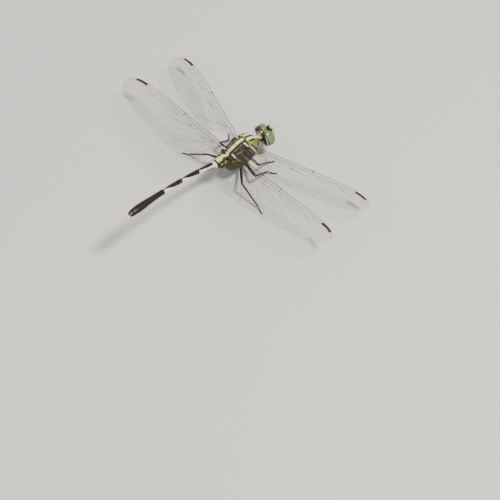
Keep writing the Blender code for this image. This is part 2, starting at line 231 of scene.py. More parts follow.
# ---------------------------------------------------------------- materials
class Net:
    """A material's node tree. A number given to a socket is set, and a socket is linked."""

    def __init__(self, name):
        self.material = bpy.data.materials.new(name)
        self.material.use_nodes = True
        self.tree, self.coords = self.material.node_tree, None
        self.bsdf = self.tree.nodes["Principled BSDF"]

    def feed(self, node, inputs):
        for key, v in inputs.items():
            if isinstance(v, bpy.types.NodeSocket):
                self.tree.links.new(v, node.inputs[key])
            else:
                node.inputs[key].default_value = v

    def add(self, kind, inputs, output=0, **settings):
        node = self.tree.nodes.new("ShaderNode" + kind)
        for key, v in settings.items():
            setattr(node, key, v)
        self.feed(node, inputs)
        return node.outputs[output]

    def noise(self, scale, detail=3.0, rough=0.55):
        if self.coords is None:
            self.coords = self.add("TexCoord", {}, "Object")
        return self.add("TexNoise", {"Scale": scale, "Detail": detail, "Roughness": rough,
                                     "Vector": self.coords}, "Fac")

    def mark(self, key):
        return self.add("Attribute", {}, "Fac", attribute_name=key)

    def ramp(self, value, low, high, a=0.0, b=1.0):
        return self.add("MapRange", {"From Min": low, "From Max": high, "To Min": a, "To Max": b,
                                     "Value": value}, "Result")

    def maths(self, kind, a, b):
        return self.add("Math", {0: a, 1: b}, operation=kind)

    def blend(self, factor, a, b):
        """Mix node set to colour: its colour sockets are 6 and 7 in, 2 out."""
        a, b = ((*v, 1.0) if isinstance(v, tuple) else v for v in (a, b))
        return self.add("Mix", {0: factor, 6: a, 7: b}, 2, data_type="RGBA")

    def bump(self, height, strength, distance):
        normal = self.add("Bump", {"Strength": strength, "Distance": distance, "Height": height},
                          "Normal")
        self.feed(self.bsdf, {"Normal": normal})


def plain(name, colour, rough):
    net = Net(name)
    net.feed(net.bsdf, {"Base Color": (*colour, 1), "Roughness": rough})
    return net


MOTTLE, GRAIN, WOBBLE = 1500, 5200, 2600             # noise scales of the shell, per metre
MARK_SOFT = 0.05                                     # half the width of a mark's edge, mm
SHELL_GLOSS, SHELL_GRAIN_DEEP = 0.3, 0.00006


def shell(name, ground, ground2, layers=(), rough=(0.3, 0.5), bump=0.25):
    """Insect shell: mottled ground with coloured marks, each from a distance attribute."""
    net = Net(name)
    mottle, fine = net.noise(MOTTLE, 4), net.noise(GRAIN, 3)
    wobble = net.maths("MULTIPLY", net.maths("SUBTRACT", net.noise(WOBBLE, 2), 0.5), 0.22)
    colour = net.blend(net.ramp(mottle, 0.35, 0.68), ground, ground2)
    for key, tint, tint2 in layers:
        shifted = net.maths("ADD", net.mark(key), wobble)
        mark = net.blend(net.ramp(fine, 0.35, 0.7), tint, tint2)
        colour = net.blend(net.ramp(shifted, -MARK_SOFT, MARK_SOFT), colour, mark)
    net.feed(net.bsdf, {"Base Color": colour, "Roughness": net.ramp(mottle, 0.3, 0.7, *rough),
                        "Specular IOR Level": SHELL_GLOSS, "Coat Weight": 0.0, "Coat Roughness": 0.15})
    net.bump(fine, bump, SHELL_GRAIN_DEEP)
    return net.material


BLACK, BLACK2 = (0.007, 0.006, 0.005), (0.018, 0.013, 0.009)
GREEN, GREEN2 = (0.13, 0.165, 0.035), (0.24, 0.27, 0.075)
YELLOW, YELLOW2 = (0.80, 0.82, 0.36), (0.60, 0.66, 0.20)
PALE, PALE2 = (0.86, 0.82, 0.55), (0.66, 0.64, 0.32)
WHITE, WHITE2 = (0.88, 0.83, 0.66), (0.72, 0.65, 0.44)
BROWN, BROWN2 = (0.026, 0.017, 0.010), (0.070, 0.045, 0.026)

IN_BLACK, IN_WHITE = ("black", BLACK, BLACK2), ("white", WHITE, WHITE2)
IN_BROWN = ("brown", BROWN, BROWN2)

# on the thorax the brown layer is partly the shell's own olive-brown and partly painted shade on the flanks
# and the lower side
thorax_mat = shell("thorax_shell", GREEN, GREEN2, (
    IN_BROWN, ("rust", (0.105, 0.070, 0.046), (0.20, 0.145, 0.105)), IN_BLACK,
    ("pale", PALE, PALE2), ("yellow", YELLOW, YELLOW2)), (0.42, 0.6), 0.5)
base_mat = shell("abdomen_base_shell", GREEN, GREEN2,
                 (("pale", YELLOW, YELLOW2), IN_BLACK, IN_WHITE), (0.3, 0.45))
band_mat = shell("abdomen_banded_shell", BLACK, BLACK2, (IN_WHITE,), (0.25, 0.42), 0.3)
face_mat = shell("face_shell", (0.36, 0.40, 0.10), (0.52, 0.54, 0.20), (IN_BROWN, IN_BLACK), (0.25, 0.4))
occiput_mat = shell("occiput_shell", BLACK, BROWN, (("pale", (0.74, 0.60, 0.33), (0.56, 0.45, 0.22)),),
                    (0.35, 0.5))
black_mat = shell("black_shell", BLACK, BLACK2, (), (0.25, 0.4))
leg_mat = shell("leg_shell", (0.014, 0.009, 0.006), (0.040, 0.024, 0.014),
                (("pale", (0.62, 0.52, 0.26), (0.48, 0.40, 0.18)),), (0.3, 0.48))
cercus_mat = shell("cercus_shell", (0.80, 0.72, 0.48), (0.66, 0.56, 0.32), (IN_BROWN,), (0.3, 0.45))
sclerite_mat = shell("sclerite", (0.80, 0.68, 0.58), (0.62, 0.46, 0.38), (IN_BROWN,), (0.3, 0.45))
vein_mat = shell("vein", (0.045, 0.028, 0.016), (0.020, 0.014, 0.010), (), (0.3, 0.45), 0.1)
stigma_mat = shell("stigma", (0.030, 0.020, 0.013), (0.060, 0.038, 0.022), (), (0.35, 0.5), 0.3)
hair_mat = plain("hair", (0.36, 0.30, 0.16), 0.5).material


def membrane_material(name, colour, alpha):
    net = plain(name, colour, 0.18)
    net.feed(net.bsdf, {"Alpha": alpha})
    net.bump(net.noise(1500, 2), 0.55, 0.00012)
    return net.material


membrane_mat = membrane_material("membrane", (0.05, 0.045, 0.035), 0.045)
amber_mat = membrane_material("amber", (0.10, 0.045, 0.012), 0.14)


def eye_material():
    net = Net("eye")
    big, small = net.noise(1100, 4, 0.65), net.noise(4200, 3)
    wave = net.maths("MULTIPLY", net.maths("SUBTRACT", big, 0.5), 0.9)
    level = net.maths("ADD", net.mark("up"), wave)
    top, low = (net.blend(net.ramp(big, 0.38, 0.62), *pair) for pair in (
        ((0.065, 0.125, 0.052), (0.19, 0.30, 0.135)), ((0.060, 0.055, 0.026), (0.16, 0.17, 0.075))))
    colour = net.blend(net.ramp(level, -0.55, 0.15), low, top)
    colour = net.blend(net.ramp(small, 0.60, 0.78, 0, 0.45), colour, (0.035, 0.055, 0.028))
    for key, share, edge, tints in (
            ("brown", 0.25, (-0.05, 0.05), ((0.022, 0.012, 0.005), (0.085, 0.045, 0.020))),
            ("pale", 0.06, (-0.02, 0.03), ((0.78, 0.62, 0.34), (0.56, 0.46, 0.24)))):
        shifted = net.maths("ADD", net.mark(key), net.maths("MULTIPLY", wave, share))
        colour = net.blend(net.ramp(shifted, *edge), colour, net.blend(small, *tints))
    net.feed(net.bsdf, {"Base Color": colour, "Roughness": 0.26, "Specular IOR Level": 0.35,
                        "Coat Weight": 0.2, "Coat Roughness": 0.10})
    facets = net.add("TexVoronoi", {"Scale": 14000, "Vector": net.coords}, "Distance")
    net.bump(facets, 0.35, 0.00002)
    return net.material


eye_mat = eye_material()

# ---------------------------------------------------------------- thorax
THORAX = ((6.15, -1.75, -5.75, 1.45), (5.9, -1.15, -6.2, 1.85), (5.2, -0.42, -6.75, 2.28),
          (4.2, 0.10, -7.1, 2.56), (3.1, 0.50, -7.3, 2.68), (2.2, 0.58, -7.35, 2.66),
          (0.8, 0.50, -7.3, 2.62), (-0.6, 0.25, -7.1, 2.52), (-1.7, -0.02, -6.75, 2.35),
          (-2.5, -0.50, -6.1, 2.05), (-2.85, -1.10, -5.4, 1.7))
PROTHORAX = ((6.21, -2.5, -5.6, 1.25), (6.6, -2.25, -5.5, 1.40), (7.1, -2.45, -5.0, 1.20),
             (7.4, -2.8, -4.75, 0.95), (7.85, -3.1, -4.65, 0.72))


def superellipse(table, xs, around, power):
    x = np.asarray(xs)[:, None]
    top, low, wide = (spline(table, xs, k)[:, None] for k in (1, 2, 3))
    t = circle(around)[None]
    c, s = np.cos(t), np.sin(t)
    y = wide * np.sign(c) * np.abs(c) ** (2 / power)
    z = (top + low) / 2 + (top - low) / 2 * np.sign(s) * np.abs(s) ** (2 / power)
    return x + 0 * y, y, z, np.broadcast_to(t, y.shape), top + 0 * y


def make_thorax():
    xs = 6.15 - 9.0 * (0.5 - 0.5 * np.cos(np.linspace(0, math.pi, 150)))
    x, y, z, t, top = superellipse(THORAX, xs, 200, 2.4)
    ay, q, deep = np.abs(y), x + 0.58 * z, z - top
    side = np.clip((ay - 1.3) / 0.5, 0, 1) * np.clip((-0.5 - z) / 0.6, 0, 1)
    upper = np.clip((np.sin(t) - 0.2) / 0.3, 0, 1)
    seams = ((3.12, 0.24), (2.02, 0.13), (1.2, 0.12), (0.1, 0.17), (-1.3, 0.13), (-2.9, 0.2))
    grow = np.zeros_like(x)
    for c, _ in seams:                                                   # seams between the side plates
        grow += side * (0.045 * (bell(q, c + 0.3, 0.17) + bell(q, c - 0.3, 0.17)) - 0.09 * bell(q, c, 0.09))
    front = np.clip((x - 2.9) / 0.5, 0, 1)
    grow += front * upper * 0.16 * bell(y, 0, 0.10)                      # keel of the front
    grow -= front * upper * 0.06 * bell(ay, 0.5, 0.18)
    grow += upper * (0.16 * bell(x, 2.95, 0.14) * bell(y, 0, 1.5)
                     - 0.12 * bell(x, 2.66, 0.1) * bell(y, 0, 1.6))
    back = np.clip((2.7 - x) / 0.3, 0, 1) * upper
    for c, depth in ((1.25, 0.05), (0.06, 0.16), (-0.75, 0.05), (-1.3, 0.06), (-1.7, 0.08), (-2.25, 0.13)):
        grow -= back * depth * bell(x + 0.12 * ay, c, 0.09)              # plates between the wings
    grow += back * (0.20 * bell(y, 0, 0.40) - 0.15 * bell(ay, 0.66, 0.14) + 0.10 * bell(ay, 1.1, 0.24)
                    - 0.10 * bell(ay, 1.52, 0.12))
    for c, r in ((1.75, 0.42), (0.95, 0.30), (-0.25, 0.32), (-0.95, 0.26), (-2.0, 0.38)):
        grow += back * 0.09 * bell(x, c, r) * bell(ay, 0.98, 0.26)       # small humps beside the strip
    grow += 0.10 * bell(x, 5.72, 0.14) * upper                            # collar
    grow += 0.05 * bell(x, 4.55, 0.5) * bell(ay, 1.5, 0.5) * upper
    n = np.stack([np.zeros_like(x), np.cos(t) / 2.6, np.sin(t) / 3.6], -1)
    n /= np.linalg.norm(n, axis=-1, keepdims=True)
    y2, z2 = y + n[..., 1] * grow, z + n[..., 2] * grow
    # yellow: strip between the wings, lobed at the rear, and keel of the front
    wide = 0.33 + 0.07 * bell(x, 2.1, 0.35) - 0.06 * bell(x, 1.2, 0.2) + 0.12 * bell(x, -2.6, 0.3)
    yellow = most(least(wide - ay, deep + 0.9, 2.5 - x, np.abs(x - 0.06) - 0.07, np.abs(x + 2.25) - 0.07,
                        np.abs(x + 1.72) - 0.02 - 0.3 * np.clip(0.3 - ay, 0, 1)),
                  least(band(ay, 0.70 - 0.05 * (x - 4), 0.29), x - 3.25, deep + 1.2),
                  least(band(x, 5.78, 0.12), deep + 3.2))
    # pale: bar down the side from the forewing, and a dot
    low_down = 3 * np.clip(-deep - 1.2, 0, None)
    bar = ((2.75, 1.75, -0.25), (3.05, 2.17, -0.9), (3.9, 2.44, -2.3), (5.05, 2.30, -4.2))
    pale = most(stroke(x, y, z, bar, (0.13, 0.22, 0.27, 0.12)),
                0.17 - np.hypot(x - 3.0, ay - 0.92) - low_down)
    spots = ((1.75, 1.0), (0.95, 0.95), (-0.25, 1.02), (-0.95, 0.98), (-2.0, 1.0))
    ridge = ((0.8, 2.05, -0.45), (0.1, 1.9, -0.7), (-1.2, 1.75, -0.6))
    rust = most(stroke(x, y, z, ridge, (0.10, 0.20, 0.10)),
                least(band(q, 1.62, 0.2), -1.2 - z, z + 3.4, ay - 1.2),
                *(0.20 - np.hypot(x - px, ay - py) - low_down for px, py in spots),
                least(band(q, -0.55, 0.25), ay - 1.3, -2.5 - z))
    # brown: olive-brown beside the yellow strip between the wings; on the flanks below the wing roots partly
    # the shell's own olive-brown and partly painted shade; low on the front and all along the lower thorax it
    # is painted shade
    brown = most(least(deep + 1.35, ay - 0.4, 2.85 - x), least(q + 2.1, 1.95 - q, ay - 1.3, -0.4 - z),
                 least(-4.0 - z - 0.35 * (x - 3), ay - 0.2), least(-5.3 - z, ay - 0.2))
    black = most(*(least(band(q, c, w), ay - 1.45, -0.55 - z) for c, w in seams),
                 least(band(ay, 0.52, 0.12), deep + 0.9, 2.9 - x),
                 least(band(ay, 1.5, 0.13), deep + 1.3, 2.8 - x),
                 least(0.14 - ay, x - 3.1, deep + 1.5),
                 least(band(ay, 1.24 - 0.06 * (x - 4), 0.19), x - 3.5, deep + 2.4),
                 least(band(x, 2.72, 0.16), deep + 1.7, ay - 0.3),
                 least(band(x, 5.50, 0.12), z + 4.6), least(-6.6 - z, 0.4))
    verts, faces, attrs = lofted(thorax_frame(x, y2, z2), {
        "black": least(black, -pale - 0.02), "pale": pale, "brown": brown, "rust": rust,
        "yellow": yellow})
    piece("thorax_shell", verts, faces, thorax_mat, ["thorax"], "thorax", attrs)

    xs = np.linspace(6.16, 8.0, 44)
    x, y, z, t, top = superellipse(PROTHORAX, np.clip(xs, 6.21, 7.85), 80, 2.1)
    x = np.broadcast_to(xs[:, None], x.shape)
    lobes = 1 + 0.07 * bell(x, 6.45, 0.16) + 0.05 * bell(x, 6.95, 0.15) - 0.07 * bell(x, 6.7, 0.08)
    y, z = y * lobes, (z + 4.3) * lobes - 4.3
    away, rise = np.abs(y), np.sin(t)
    black = most(least(band(x, 6.72, 0.10), away - 0.2), least(-rise - 0.1, 0.3) * 1.4,
                 least(band(x, 7.28, 0.10), away - 0.25))
    yellow = least(0.36 + 0.2 * bell(x, 6.95, 0.2) - away, rise)
    verts, faces, attrs = lofted(thorax_frame(x, y, z), {
        "black": black, "yellow": yellow, "pale": -1 + 0 * x, "rust": -1 + 0 * x,
        "brown": least(away - 0.75, 0.4 - rise)})
    piece("prothorax_shell", verts, faces, thorax_mat, ["prothorax"], "thorax", attrs)


make_thorax()

# ---------------------------------------------------------------- head
EYE_X, EYE_Y, EYE_Z = -0.05, 1.60, 0.10
EYE_LONG, EYE_WIDE, EYE_TALL = 2.00, 1.85, 2.65
EYE_LEAN, EYE_BACK, EYE_WALL = math.radians(25), -1.35, 0.012


def eye_scale(x, grow=0.0):
    return np.sqrt(np.clip(1 - ((x - EYE_X) / (EYE_LONG + grow)) ** 2, 0, None))


def eye_middle(x):
    return EYE_Y + 0.30 * np.clip(x, 0, None) ** 1.5 + 0.35 * np.clip(-x - 0.3, 0, None) ** 1.5


def eye_inner(x, z, grow):
    k = eye_scale(x, grow)
    ok = (k > 0.02) & (x >= EYE_BACK - grow)
    k = most(k, 0.02)
    a, c, up = (EYE_WIDE + grow) * k, (EYE_TALL + grow) * k, z - EYE_Z
    co, si = math.cos(EYE_LEAN), math.sin(EYE_LEAN)
    qa = co * co / a**2 + si * si / c**2
    qb = 2 * up * si * co * (1 / a**2 - 1 / c**2)
    qc = up * up * (si * si / a**2 + co * co / c**2) - 1
    disc = qb * qb - 4 * qa * qc
    y = most(EYE_WALL, eye_middle(x) + (-qb - np.sqrt(np.clip(disc, 0, None))) / (2 * qa))
    return np.where(ok & (disc > 0), y, 9.0)


def make_eye(side, word):
    a = np.linspace(math.acos((EYE_BACK - EYE_X) / EYE_LONG), 0.02, 56)
    x = (EYE_X + EYE_LONG * np.cos(a))[:, None]
    t = circle(84)[None]
    k = eye_scale(x)
    # rounded shoulder where the back is cut flat
    shoulder = 1 - 0.10 * np.clip(1 - (x - EYE_BACK) / 0.22, 0, 1) ** 2
    b, c = EYE_WIDE * k * shoulder * np.cos(t), EYE_TALL * k * shoulder * np.sin(t)
    out = b * math.cos(EYE_LEAN) - c * math.sin(EYE_LEAN)
    up = b * math.sin(EYE_LEAN) + c * math.cos(EYE_LEAN)
    from_middle = most(EYE_WALL, eye_middle(x) + out)
    x = x + 0 * up
    pts = head_frame(x, side * from_middle, EYE_Z + up)
    low = np.clip((1.6 - up) / 1.6, 0, 1)
    verts, faces, attrs = lofted(pts, {
        "up": up / 2.2 + 0.15 * (x + 0.2),
        "brown": -0.72 + 0.32 * low + 0.2 * bell(from_middle, 0, 0.7) - x,
        "pale": least(band(x, -1.15, 0.07 + 0.03 * low), 1.9 - np.abs(up))}, flip=side < 0)
    piece("eye_dome_" + word, verts, faces, eye_mat, ["eye_" + word], "eye", attrs)


for side, word in SIDES:
    make_eye(side, word)


RIM = 90                                            # points round a face plate
SHARES = np.array([0.08, 0.2, 0.33, 0.46, 0.58, 0.69, 0.78, 0.86, 0.92, 0.965, 0.99, 1.0])[:, None]
EYE_GAP = 0.015


def resample(corners, count):
    c = np.asarray(corners + (corners[0],), float)
    d = lengths(c)
    at = np.linspace(0, d[-1], count, endpoint=False)
    return np.column_stack([np.interp(at, d, c[:, 0]), np.interp(at, d, c[:, 1])])


def never(x, y, z):
    return -1.0 + 0 * x


def pillow(name, node, corners, wide, marks, edge, rounding):
    """Face plate: an outline seen from the side, swelling out both ways, and kept off the eyes."""
    rim = resample(corners, RIM)
    for _ in range(rounding * 4):
        rim = (np.roll(rim, 1, 0) + 2 * rim + np.roll(rim, -1, 0)) / 4
    mid = rim.mean(0)
    q = mid + (rim[None] - mid) * SHARES[:, :, None]
    x, z = q[..., 0], q[..., 1]
    y = wide(x, z) * (1 - (1 - edge) * SHARES ** 4 - 0.12 * edge * np.clip((SHARES - 0.9) / 0.1, 0, 1) ** 2)
    y = most(0.05, least(y, eye_inner(x, z, 0.0) - EYE_GAP))
    y0 = float(min(wide(mid[0], mid[1]), eye_inner(mid[0], mid[1], 0.0) - EYE_GAP))
    xs, ys, zs = (np.concatenate([[first], v.reshape(-1)])
                  for first, v in ((mid[0], x), (y0, y), (mid[1], z)))
    half, last, faces = len(xs), 1 + (len(SHARES) - 1) * RIM, []
    for side, base in ((1, 0), (-1, half)):
        for i in range(RIM):
            j = (i + 1) % RIM
            f = (base, base + 1 + j, base + 1 + i)
            faces.append(f[::side])
            for a in range(base + 1, base + last, RIM):
                faces.append((a + i, a + j, a + RIM + j, a + RIM + i)[::side])
    for i in range(RIM):
        j = (i + 1) % RIM
        faces.append((last + i, last + j, half + last + j, half + last + i))
    xs, ys, zs = np.tile(xs, 2), np.concatenate([ys, -ys]), np.tile(zs, 2)
    piece(name, head_frame(xs, ys, zs), faces, face_mat, [node], "face",
          {key: marks.get(key, never)(xs, ys, zs) for key in ("black", "brown")})


pillow("head_core", "head", ((EYE_BACK, -1.25), (-0.2, -1.3), (0.95, -1.25), (0.95, -1.95), (0.2, -2.05),
                             (EYE_BACK, -1.9)),
       lambda x, z: 1.25 - 0.12 * z, {"black": lambda x, y, z: z - 1.2}, 0.8, 1)
pillow("frons_shell", "frons", ((0.95, 1.5), (1.6, 1.72), (2.45, 1.5), (2.95, 1.0), (3.02, 0.4),
                                (2.65, 0.05), (0.95, 0.05)),
       lambda x, z: 1.62 - 0.25 * np.clip(z - 0.8, 0, None),
       {"black": lambda x, y, z: least(z - 1.28, 2.0 - x)}, 0.62, 2)
pillow("clypeus_shell", "clypeus", ((0.95, 0.0), (2.6, 0.0), (2.92, -0.35), (2.85, -0.85), (2.5, -1.15),
                                    (0.95, -1.15)),
       lambda x, z: 1.70 + 0 * x,
       {"brown": lambda x, y, z: least(band(z, -0.95, 0.06), 1.3 - np.abs(y))}, 0.62, 2)
pillow("labrum_shell", "labrum", ((0.95, -1.2), (2.45, -1.2), (2.55, -1.6), (2.1, -2.1), (1.55, -2.3),
                                  (0.95, -2.2)),
       lambda x, z: 1.55 + 0.15 * (z + 1.2),
       {"black": lambda x, y, z: most(-1.95 - z, least(band(z, -1.3, 0.07), 0.8 - np.abs(y)))}, 0.6, 2)
pillow("labium_shell", "labium", ((-1.0, -2.1), (0.2, -2.12), (0.95, -2.26), (1.45, -2.36), (1.2, -2.75),
                                  (0.2, -3.0), (-0.7, -2.8)),
       lambda x, z: 1.45 + 0 * x, {"black": lambda x, y, z: 0.42 - np.abs(y)}, 0.7, 2)


def dome(centre, radii, frame_fn, around=24, rings=14, low=-0.5):
    a = np.linspace(low * math.pi / 2, math.pi / 2 - 0.03, rings)[:, None]
    t = circle(around)[None]
    x = centre[0] + radii[0] * np.cos(a) * np.cos(t)
    y = centre[1] + radii[1] * np.cos(a) * np.sin(t)
    z = centre[2] + radii[2] * np.sin(a) + 0 * t
    return lofted(frame_fn(x, y, z))[:2]


crown = Bag()
crown.add(*dome((1.22, 0, 1.85), (0.36, 0.42, 0.55), head_frame))
for x, y in ((1.58, 0.0), (1.22, 0.42), (1.22, -0.42)):
    crown.add(*dome((x, y, 1.98), (0.12, 0.12, 0.14), head_frame, 14, 8, -0.9))
crown.make("vertex_bump", black_mat, ["vertex"], "head_black")

for side, word in SIDES:
    start = (1.75, 0.72, 1.93)
    way = ((0, 0, -0.25), (0.12, 0.03, 0.02), (0.35, 0.12, 0.3), (0.9, 0.4, 0.75), (1.6, 0.85, 1.25),
           (2.2, 1.35, 1.55))
    line, share = curve_through([head_frame(start[0] + a, side * (start[1] + b), start[2] + c)
                                 for a, b, c in way], 0.06)
    r = np.interp(share, (0, 0.1, 0.11, 0.2, 0.21, 0.5, 1), (0.17, 0.17, 0.11, 0.11, 0.055, 0.04, 0.012))
    verts, faces, _ = lofted(tube(line, r, 10))
    piece("feeler_" + word, verts, faces, black_mat, ["antenna_" + word], "head_black")


def make_occiput():
    back = EYE_BACK - 0.03
    steps = ((0.0, 3.1, 2.02, 0.0), (0.05, 3.12, 2.05, 0.0), (0.14, 3.0, 1.96, 0.0), (0.24, 2.75, 1.75, 0.0),
             (0.31, 2.4, 1.5, 0.0), (0.33, 2.0, 1.28, -0.05), (0.33, 1.6, 1.12, -0.12),
             (0.36, 1.3, 1.02, -0.2),
             (0.46, 1.08, 0.94, -0.28), (0.60, 0.96, 0.86, -0.33), (0.76, 0.88, 0.80, -0.36),
             (0.78, 0.45, 0.4, -0.36))
    t = circle(96)
    fine = np.linspace(0, len(steps) - 1, 45)
    d, w, h, lift = (np.interp(fine, range(len(steps)), [q[k] for q in steps])[:, None] for k in range(4))
    y, z = w * np.cos(t), -0.08 + lift + h * np.sin(t)
    x = (back - d - 0.05 * bell(np.hypot(np.abs(y) - 1.75, z - 0.35), 0, 0.55)
         + 0.04 * bell(y, 0, 0.10) * (d > 0.2))
    pale = 0.95 - np.hypot(y / 1.55, (z - 0.85) / 1.0)                     # beige middle of the back
    pale = most(pale, 0.42 - np.hypot((np.abs(y) - 2.05) / 1.0, (z + 0.25) / 0.9))
    pale = most(pale, 0.30 - np.hypot((np.abs(y) - 1.6) / 1.0, (z + 1.25) / 0.7))
    pale = least(pale, 0.92 - np.hypot(y / 3.1, z / 2.03)) * 1.2
    pale = least(pale, np.hypot((np.abs(y) - 0.62) / 0.5, (z - 1.35) / 0.35) * 0.4 - 0.3)
    verts, faces, attrs = lofted(head_frame(x, y, z), {"pale": pale})
    piece("occiput_plate", verts, faces, occiput_mat, ["occiput"], "head_black", attrs)
    # small triangle between the eyes behind the seam
    rows = []
    for k, half, depth in ((0.0, 0.04, 0.02), (0.15, 0.10, 0.05), (0.6, 0.28, 0.09), (0.9, 0.34, 0.10),
                           (1.0, 0.30, 0.04)):
        c = np.array([-0.62 - 0.74 * k, 0, 2.20 - 0.36 * k])
        up = np.array([-0.55, 0, 0.83])
        rows.append([c + up * depth * math.sin(a) + np.array([0, half * math.cos(a), 0])
                     for a in circle(28)])
    g = np.array(rows)
    verts, faces, attrs = lofted(head_frame(g[..., 0], g[..., 1], g[..., 2]),
                                 {"pale": np.full(g.shape[:2], 0.2)})
    piece("occiput_triangle", verts, faces, occiput_mat, (), "head_black", attrs)


make_occiput()

# ---------------------------------------------------------------- abdomen
TAIL_FROM, TAIL_RISE, TAIL_EASE = (-1.91, 7.27), 29.1, 0.697
ENDS = (1.82, 2.45, 3.7, 6.4, 11.7, 17.4, 23.2, 27.95, 30.95, 32.7, 33.55)
SIZES = (((1.22, 1.35), (1.30, 1.50), (1.34, 1.60)), ((1.36, 1.62), (1.48, 1.80), (1.36, 1.62)),
         ((1.32, 1.55), (0.92, 1.12), (0.68, 0.80)), ((0.67, 0.78), (0.60, 0.70), (0.60, 0.70)),
         ((0.60, 0.70), (0.58, 0.68), (0.60, 0.68)), ((0.60, 0.68), (0.60, 0.68), (0.64, 0.70)),
         ((0.64, 0.70), (0.70, 0.73), (0.79, 0.77)), ((0.80, 0.78), (0.88, 0.80), (0.90, 0.80)),
         ((0.90, 0.80), (0.86, 0.76), (0.76, 0.68)), ((0.74, 0.66), (0.68, 0.60), (0.58, 0.50)))
CERCUS_LONG = 1.95


def tail_line(s):
    s = np.asarray(s, float)
    f, u = np.full_like(s, TAIL_FROM[0]), np.full_like(s, TAIL_FROM[1])
    for n in range(24):
        a = np.radians(TAIL_RISE - TAIL_EASE * s * (n + 0.5) / 24)
        f, u = f - np.cos(a) * s / 24, u + np.sin(a) * s / 24
    return f, u, np.radians(TAIL_RISE - TAIL_EASE * s)


def tail_frame(s, side, rise):
    f, u, a = tail_line(s)
    return world(f + rise * np.sin(a), side, u + rise * np.cos(a))


def make_segment(n):
    front, rear = ENDS[n], ENDS[n + 1] - 0.015
    s = np.linspace(front, rear, 58)[:, None]
    v = (s - front) / (rear - front)
    ((w0, h0), (w1, h1), (w2, h2)) = SIZES[n]
    table = np.array([[0, w0, h0], [0.5, w1, h1], [1, w2, h2]])
    swell = 1 + 0.07 * bell(s, 30.2, 3.2)                          # the club is a little broader
    w, h = spline(table, v, 1) * swell, spline(table, v, 2) * swell
    collar = 1 - 0.09 * np.clip(1 - v * (rear - front) / 0.18, 0, 1) ** 2
    hem = 1 + 0.035 * bell(v * (rear - front), rear - front - 0.10, 0.10)
    t = circle(72)[None]
    c, sn = np.cos(t), np.sin(t)
    y = w * collar * hem * np.sign(c) * np.abs(c) ** 0.95
    z = h * collar * hem * sn * np.where(sn < 0, 0.94, 1.0)
    ridge = 0.05 * bell(y, 0, 0.09) * (sn > 0)                              # keel along the back
    ridge = ridge + 0.035 * np.where(sn < 0, bell(c, 0.62, 0.10) + bell(c, -0.62, 0.10), 0) * (w / 0.7)
    ridge = ridge - 0.10 * np.where(sn < 0, bell(c, 0, 0.30), 0) * (w / 1.0)    # groove underneath
    for k in {1: (0.30, 0.62), 2: (0.22, 0.52)}.get(n, ()):            # creases round it
        ridge = ridge + 0.05 * bell(v, k, 0.02) + 0 * y
    y, z = y * (1 + ridge * 0.2), z + ridge * np.sign(sn)
    d = np.degrees(np.arctan2(c, sn))                # 0 on the back, +-180 underneath
    ad = np.abs(d) + 0 * v
    arc = ad / 57.3 * (w + h) / 2                    # millimetres from the keel, round the side
    under = (ad - 138) / 57.3 * (w + h) / 2
    along, left = v * (rear - front), (1 - v) * (rear - front)
    if n < 3:
        white = -1 + 0 * arc
        if n == 0:
            pale = least(0.40 - arc, 0.6)
            black = most(least(band(arc, 0.62, 0.18), 0.5), least(0.12 - left, arc - 0.35))
        elif n == 1:
            pale = least(0.46 + 0.14 * bell(v, 0.35, 0.2) - arc, np.abs(v - 0.62) * 1.25 - 0.05)
            black = most(band(arc, 0.80, 0.16), least(0.10 - left, arc - 0.4),
                         least(band(v, 0.62, 0.05) * 1.25, 1.3 - arc, arc - 0.42))
        else:
            pale = least(0.50 + 0.16 * bell(along, 0.55, 0.3) - arc, 1.62 - along + 0 * arc,
                         np.abs(along - 0.95) - 0.04 + 0.25 * np.clip(0.25 - arc, 0, 1))
            lean = 2.42 - 0.42 * np.clip(arc - 0.3, 0, None)
            white = most(least(band(along, lean, 0.27), 2.9 - arc),
                         least(along - 2.2, 0.55 - np.abs(arc - 0.85), 0.5))
            black = least(np.abs(along - lean) - 0.1, along - 1.62 + 0.9 * np.clip(arc - 0.7, 0, None))
        black = most(black, least(band(arc, 1.22, 0.16 + 0.05 * n), 0.4), least(arc - 2.15, 0.4), under)
        marks, mat, slot = {"pale": pale, "white": white, "black": black}, base_mat, "abdomen_base"
    elif n < 6:
        # black saddle: broad in front, running out to a thin line at the rear
        if n == 3:
            cover = np.interp(v, (0, 0.03, 0.08, 0.14, 0.45, 0.7, 0.9, 1.0),
                              (0.10, 0.16, 0.46, 0.54, 0.52, 0.42, 0.26, 0.2))
        else:
            cover = np.interp(v, (0, 0.12, 0.55, 0.75, 1.0), (0.80, 0.98, 0.62, 0.22, 0.15))
        white = least(arc - cover, 0.2, -under + 0.05, left - 0.36)
        if n == 3:
            white = least(white, np.interp(v, (0, 0.2, 0.5, 0.9), (1.25, 1.08, 1.12, 1.7)) - arc)
        marks, mat, slot = {"white": white}, band_mat, "abdomen_banded"
    else:
        marks, mat, slot = {"white": -1 + 0 * arc}, band_mat, "abdomen_black"
    verts, faces, attrs = lofted(tail_frame(s + 0 * y, y, z), marks)
    piece("abdomen_shell_%d" % (n + 1), verts, faces, mat, ["abdomen_%d" % (n + 1)], slot, attrs)


for n in range(10):
    make_segment(n)

